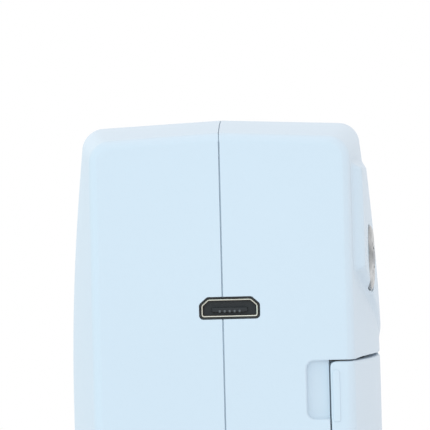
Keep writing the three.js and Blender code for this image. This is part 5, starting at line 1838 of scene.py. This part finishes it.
class MACHINE_OT_fixings(bpy.types.Operator):
    """Build the case screws and the rubber feet"""

    bl_idname = "machine.fixings"
    bl_label = "Screws and Feet"

    def execute(self, context):
        first = self.screw("case_screw_1")
        lean = node_box("case_screw_1")[0].x
        for number in range(1, 6):
            name = f"case_screw_{number}"
            if number > 1:
                copy = bpy.data.objects.new(f"{name}_fine", first.data.copy())
                context.scene.collection.objects.link(copy)
                start, here = node_middle("case_screw_1"), node_middle(name)
                shift = Vector((node_box(name)[0].x - lean, here.y - start.y, here.z - start.z)) * MM
                copy.data.transform(Matrix.Translation(shift))
                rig.ride(copy, "casing")
                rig.slot(copy, "steel")
                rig.replaces(copy, name)
        for name in ("rear_foot", "front_foot"):
            self.foot(name)
        return {"FINISHED"}

    def screw(self, name):
        low, high = node_box(name)
        middle = (low + high) / 2
        place = (middle.y, middle.z)
        profile = [
            (0, low.x), (1.6, low.x + 0.06), (2.1, low.x + 0.3), (2.3, low.x + 0.75), (2.3, low.x + 1.0),
            (1.2, low.x + 1.0), (1.2, high.x - 1), (0.7, high.x), (0, high.x),
        ]
        profile = softened(profile, [0, 0.3, 0.3, 0.2, 0.1, 0.1, 0.1, 0.1, 0], 3)
        head = turned(f"{name}_fine", "x", place, profile, 48)
        for turn in (35, 125):
            bar = slab(
                "drive", "x", rectangle((-1.35, 1.35), (-0.26, 0.26)), low.x - 1, low.x + 0.75
            )
            spot = Matrix.Translation((0, place[0], place[1])) @ Matrix.Rotation(math.radians(turn), 4, "X")
            carve(head, moved(bar, spot))
        return finished(head, "casing", "steel", "bar_steel", name, angle=35)

    def foot(self, name):
        low, high = node_box(name)
        outline = rounded(rectangle((low.x, high.x), (low.y, high.y)), 1.6, 6)
        pad = slab(f"{name}_fine", "z", outline, low.z, high.z, 0.25, 3)
        count = 7
        for step in range(count):
            x = low.x + (high.x - low.x) * (step + 0.5) / count
            groove = cylinder("groove", "y", (low.z - 0.25, x), 0.45, low.y + 1.6, high.y - 1.6, 16)
            carve(pad, groove)
        finished(pad, "casing", "rubber", "rubber", name, angle=30)


class MACHINE_OT_insides(bpy.types.Operator):
    """Give the sealed pieces broken edges and their own materials"""

    bl_idname = "machine.insides"
    bl_label = "Insides"

    PIECES = (
        ("charge_board", "charge_board", "casing", "board", 0.05),
        ("battery_cell", "cell_wrap", "casing", "cell_wrap", 0.2),
        ("battery_cradle", "nylon", "casing", "nylon", 0.1),
        ("cover_hinge_pin", "bar_steel", "casing", "steel", 0.1),
        ("motor", "motor_can", "casing", "motor_can", 0.2),
        ("gear_plate", "bar_steel", "casing", "steel", 0.1),
        ("main_gear", "nylon", "main_shaft", "nylon", 0.06),
        ("idler_gear", "nylon", "idler", "nylon", 0.06),
        ("idler_pin", "bar_steel", "casing", "steel", 0.1),
        ("motor_pinion", "brass", "rotor", "brass", 0.05),
        ("shaft_bush_inner", "brass", "casing", "brass", 0.1),
        ("shaft_bush_outer", "brass", "casing", "brass", 0.1),
        ("crank_disc", "bar_steel", "main_shaft", "steel", 0.1),
        ("needle_rocker", "bar_steel", "rocker", "steel", 0.1),
        ("rocker_pin", "bar_steel", "casing", "steel", 0.1),
        ("needle_collar", "bar_steel", "needle_drive", "steel", 0.1),
        ("needle_bar_guide", "nylon", "casing", "nylon", 0.15),
        ("presser_bar_guide", "nylon", "casing", "nylon", 0.1),
        ("looper", "bright_metal", "looper", "steel", 0.1),
        ("looper_pin", "bar_steel", "casing", "steel", 0.1),
        ("power_switch", "black_plastic", "casing", "socket_tongue", 0.15),
    )

    def execute(self, context):
        for node, finish, body, slot, rim in self.PIECES:
            refined(node, finish, body, slot, rim)
        return {"FINISHED"}


# ------------------------------------------------------------------ stage


class MACHINE_OT_stage(bpy.types.Operator):
    """Lay the pale table, hang the soft lights and set the camera behind the machine"""

    bl_idname = "machine.stage"
    bl_label = "Stage"

    def execute(self, context):
        scene = context.scene
        scene.view_settings.view_transform = "Standard"
        world = bpy.data.worlds.new("studio")
        scene.world = world
        world.use_nodes = True
        backdrop = world.node_tree.nodes["Background"]
        backdrop.inputs["Color"].default_value = (1, 1, 1, 1)
        backdrop.inputs["Strength"].default_value = 1.0
        deselect()
        bpy.ops.mesh.primitive_circle_add(vertices=96, radius=0.58, fill_type="NGON")
        floor = fresh("table")
        floor.data.materials.append(table_top())
        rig.stage(floor)
        self.light("top_light", (0.05, -0.1, 0.9), (0, 0, 0.05), 0.9, 0.9, (1.0, 0.95, 0.94))
        self.light("rear_light", (-0.1, -0.95, 0.35), (0, -0.1, 0.06), 0.6, 1.35, (0.5, 0.86, 1.0))
        self.light("left_light", (-0.8, -0.45, 0.25), (0, -0.05, 0.05), 0.6, 0.9, (0.35, 0.9, 1.0))
        self.light("front_light", (-0.5, 0.8, 0.5), (0, 0.05, 0.04), 0.6, 0.5, (1, 1, 1))
        self.camera(scene)
        return {"FINISHED"}

    @staticmethod
    def light(name, place, aim, size, power, shade):
        data = bpy.data.lights.new(name, "AREA")
        data.shape, data.size = "DISK", size
        data.energy, data.color = power, shade
        lamp = bpy.data.objects.new(name, data)
        lamp.location = place
        lamp.rotation_euler = (Vector(aim) - Vector(place)).to_track_quat("-Z", "Y").to_euler()
        bpy.context.scene.collection.objects.link(lamp)

    @staticmethod
    def camera(scene):
        """Behind the rear face, level with the upper half and a little to the right."""
        data = bpy.data.cameras.new("camera")
        data.sensor_width, data.lens = 36, 320
        data.clip_start, data.clip_end = 0.01, 20
        eye = Vector((0.005, -0.6, 0.051))
        aim = Vector((-0.0007, -0.1, 0.0593))
        camera = bpy.data.objects.new("camera", data)
        roll = Matrix.Rotation(math.radians(-1.4), 4, "Z")
        look = (aim - eye).to_track_quat("-Z", "Y").to_matrix().to_4x4()
        camera.matrix_world = Matrix.Translation(eye) @ look @ roll
        scene.collection.objects.link(camera)
        scene.camera = camera


OPERATORS = (
    MACHINE_OT_stage,
    MACHINE_OT_casing,
    MACHINE_OT_cover,
    MACHINE_OT_socket,
    MACHINE_OT_tension,
    MACHINE_OT_controls,
    MACHINE_OT_needle,
    MACHINE_OT_foot,
    MACHINE_OT_bed,
    MACHINE_OT_thread,
    MACHINE_OT_fixings,
    MACHINE_OT_insides,
)


class MACHINE_PT_panel(bpy.types.Panel):
    """Sizes, colours and building steps"""

    bl_idname = "MACHINE_PT_panel"
    bl_label = "Sewing Machine"
    bl_space_type = "VIEW_3D"
    bl_region_type = "UI"
    bl_category = "Sewing"

    def draw(self, context):
        for settings in (context.scene.machine_sizes, context.scene.machine_colours):
            box = self.layout.box()
            for key in type(settings).__annotations__:
                box.prop(settings, key)
        for operator in OPERATORS:
            self.layout.operator(operator.bl_idname)


CLASSES = (MachineSizes, MachineColours, *OPERATORS, MACHINE_PT_panel)


def register():
    for each in CLASSES:
        bpy.utils.register_class(each)
    bpy.types.Scene.machine_sizes = bpy.props.PointerProperty(type=MachineSizes)
    bpy.types.Scene.machine_colours = bpy.props.PointerProperty(type=MachineColours)


def unregister():
    del bpy.types.Scene.machine_sizes, bpy.types.Scene.machine_colours
    for each in reversed(CLASSES):
        bpy.utils.unregister_class(each)


def main():
    register()
    for operator in OPERATORS:
        group, name = operator.bl_idname.split(".")
        getattr(getattr(bpy.ops, group), name)()
    sizes = {"cad": [list(corner) for corner in CAD_BOX], "visual": [list(c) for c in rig.bounds()]}
    with open("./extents.json", "w") as file:
        json.dump(sizes, file)


if __name__ == "__main__":
    main()
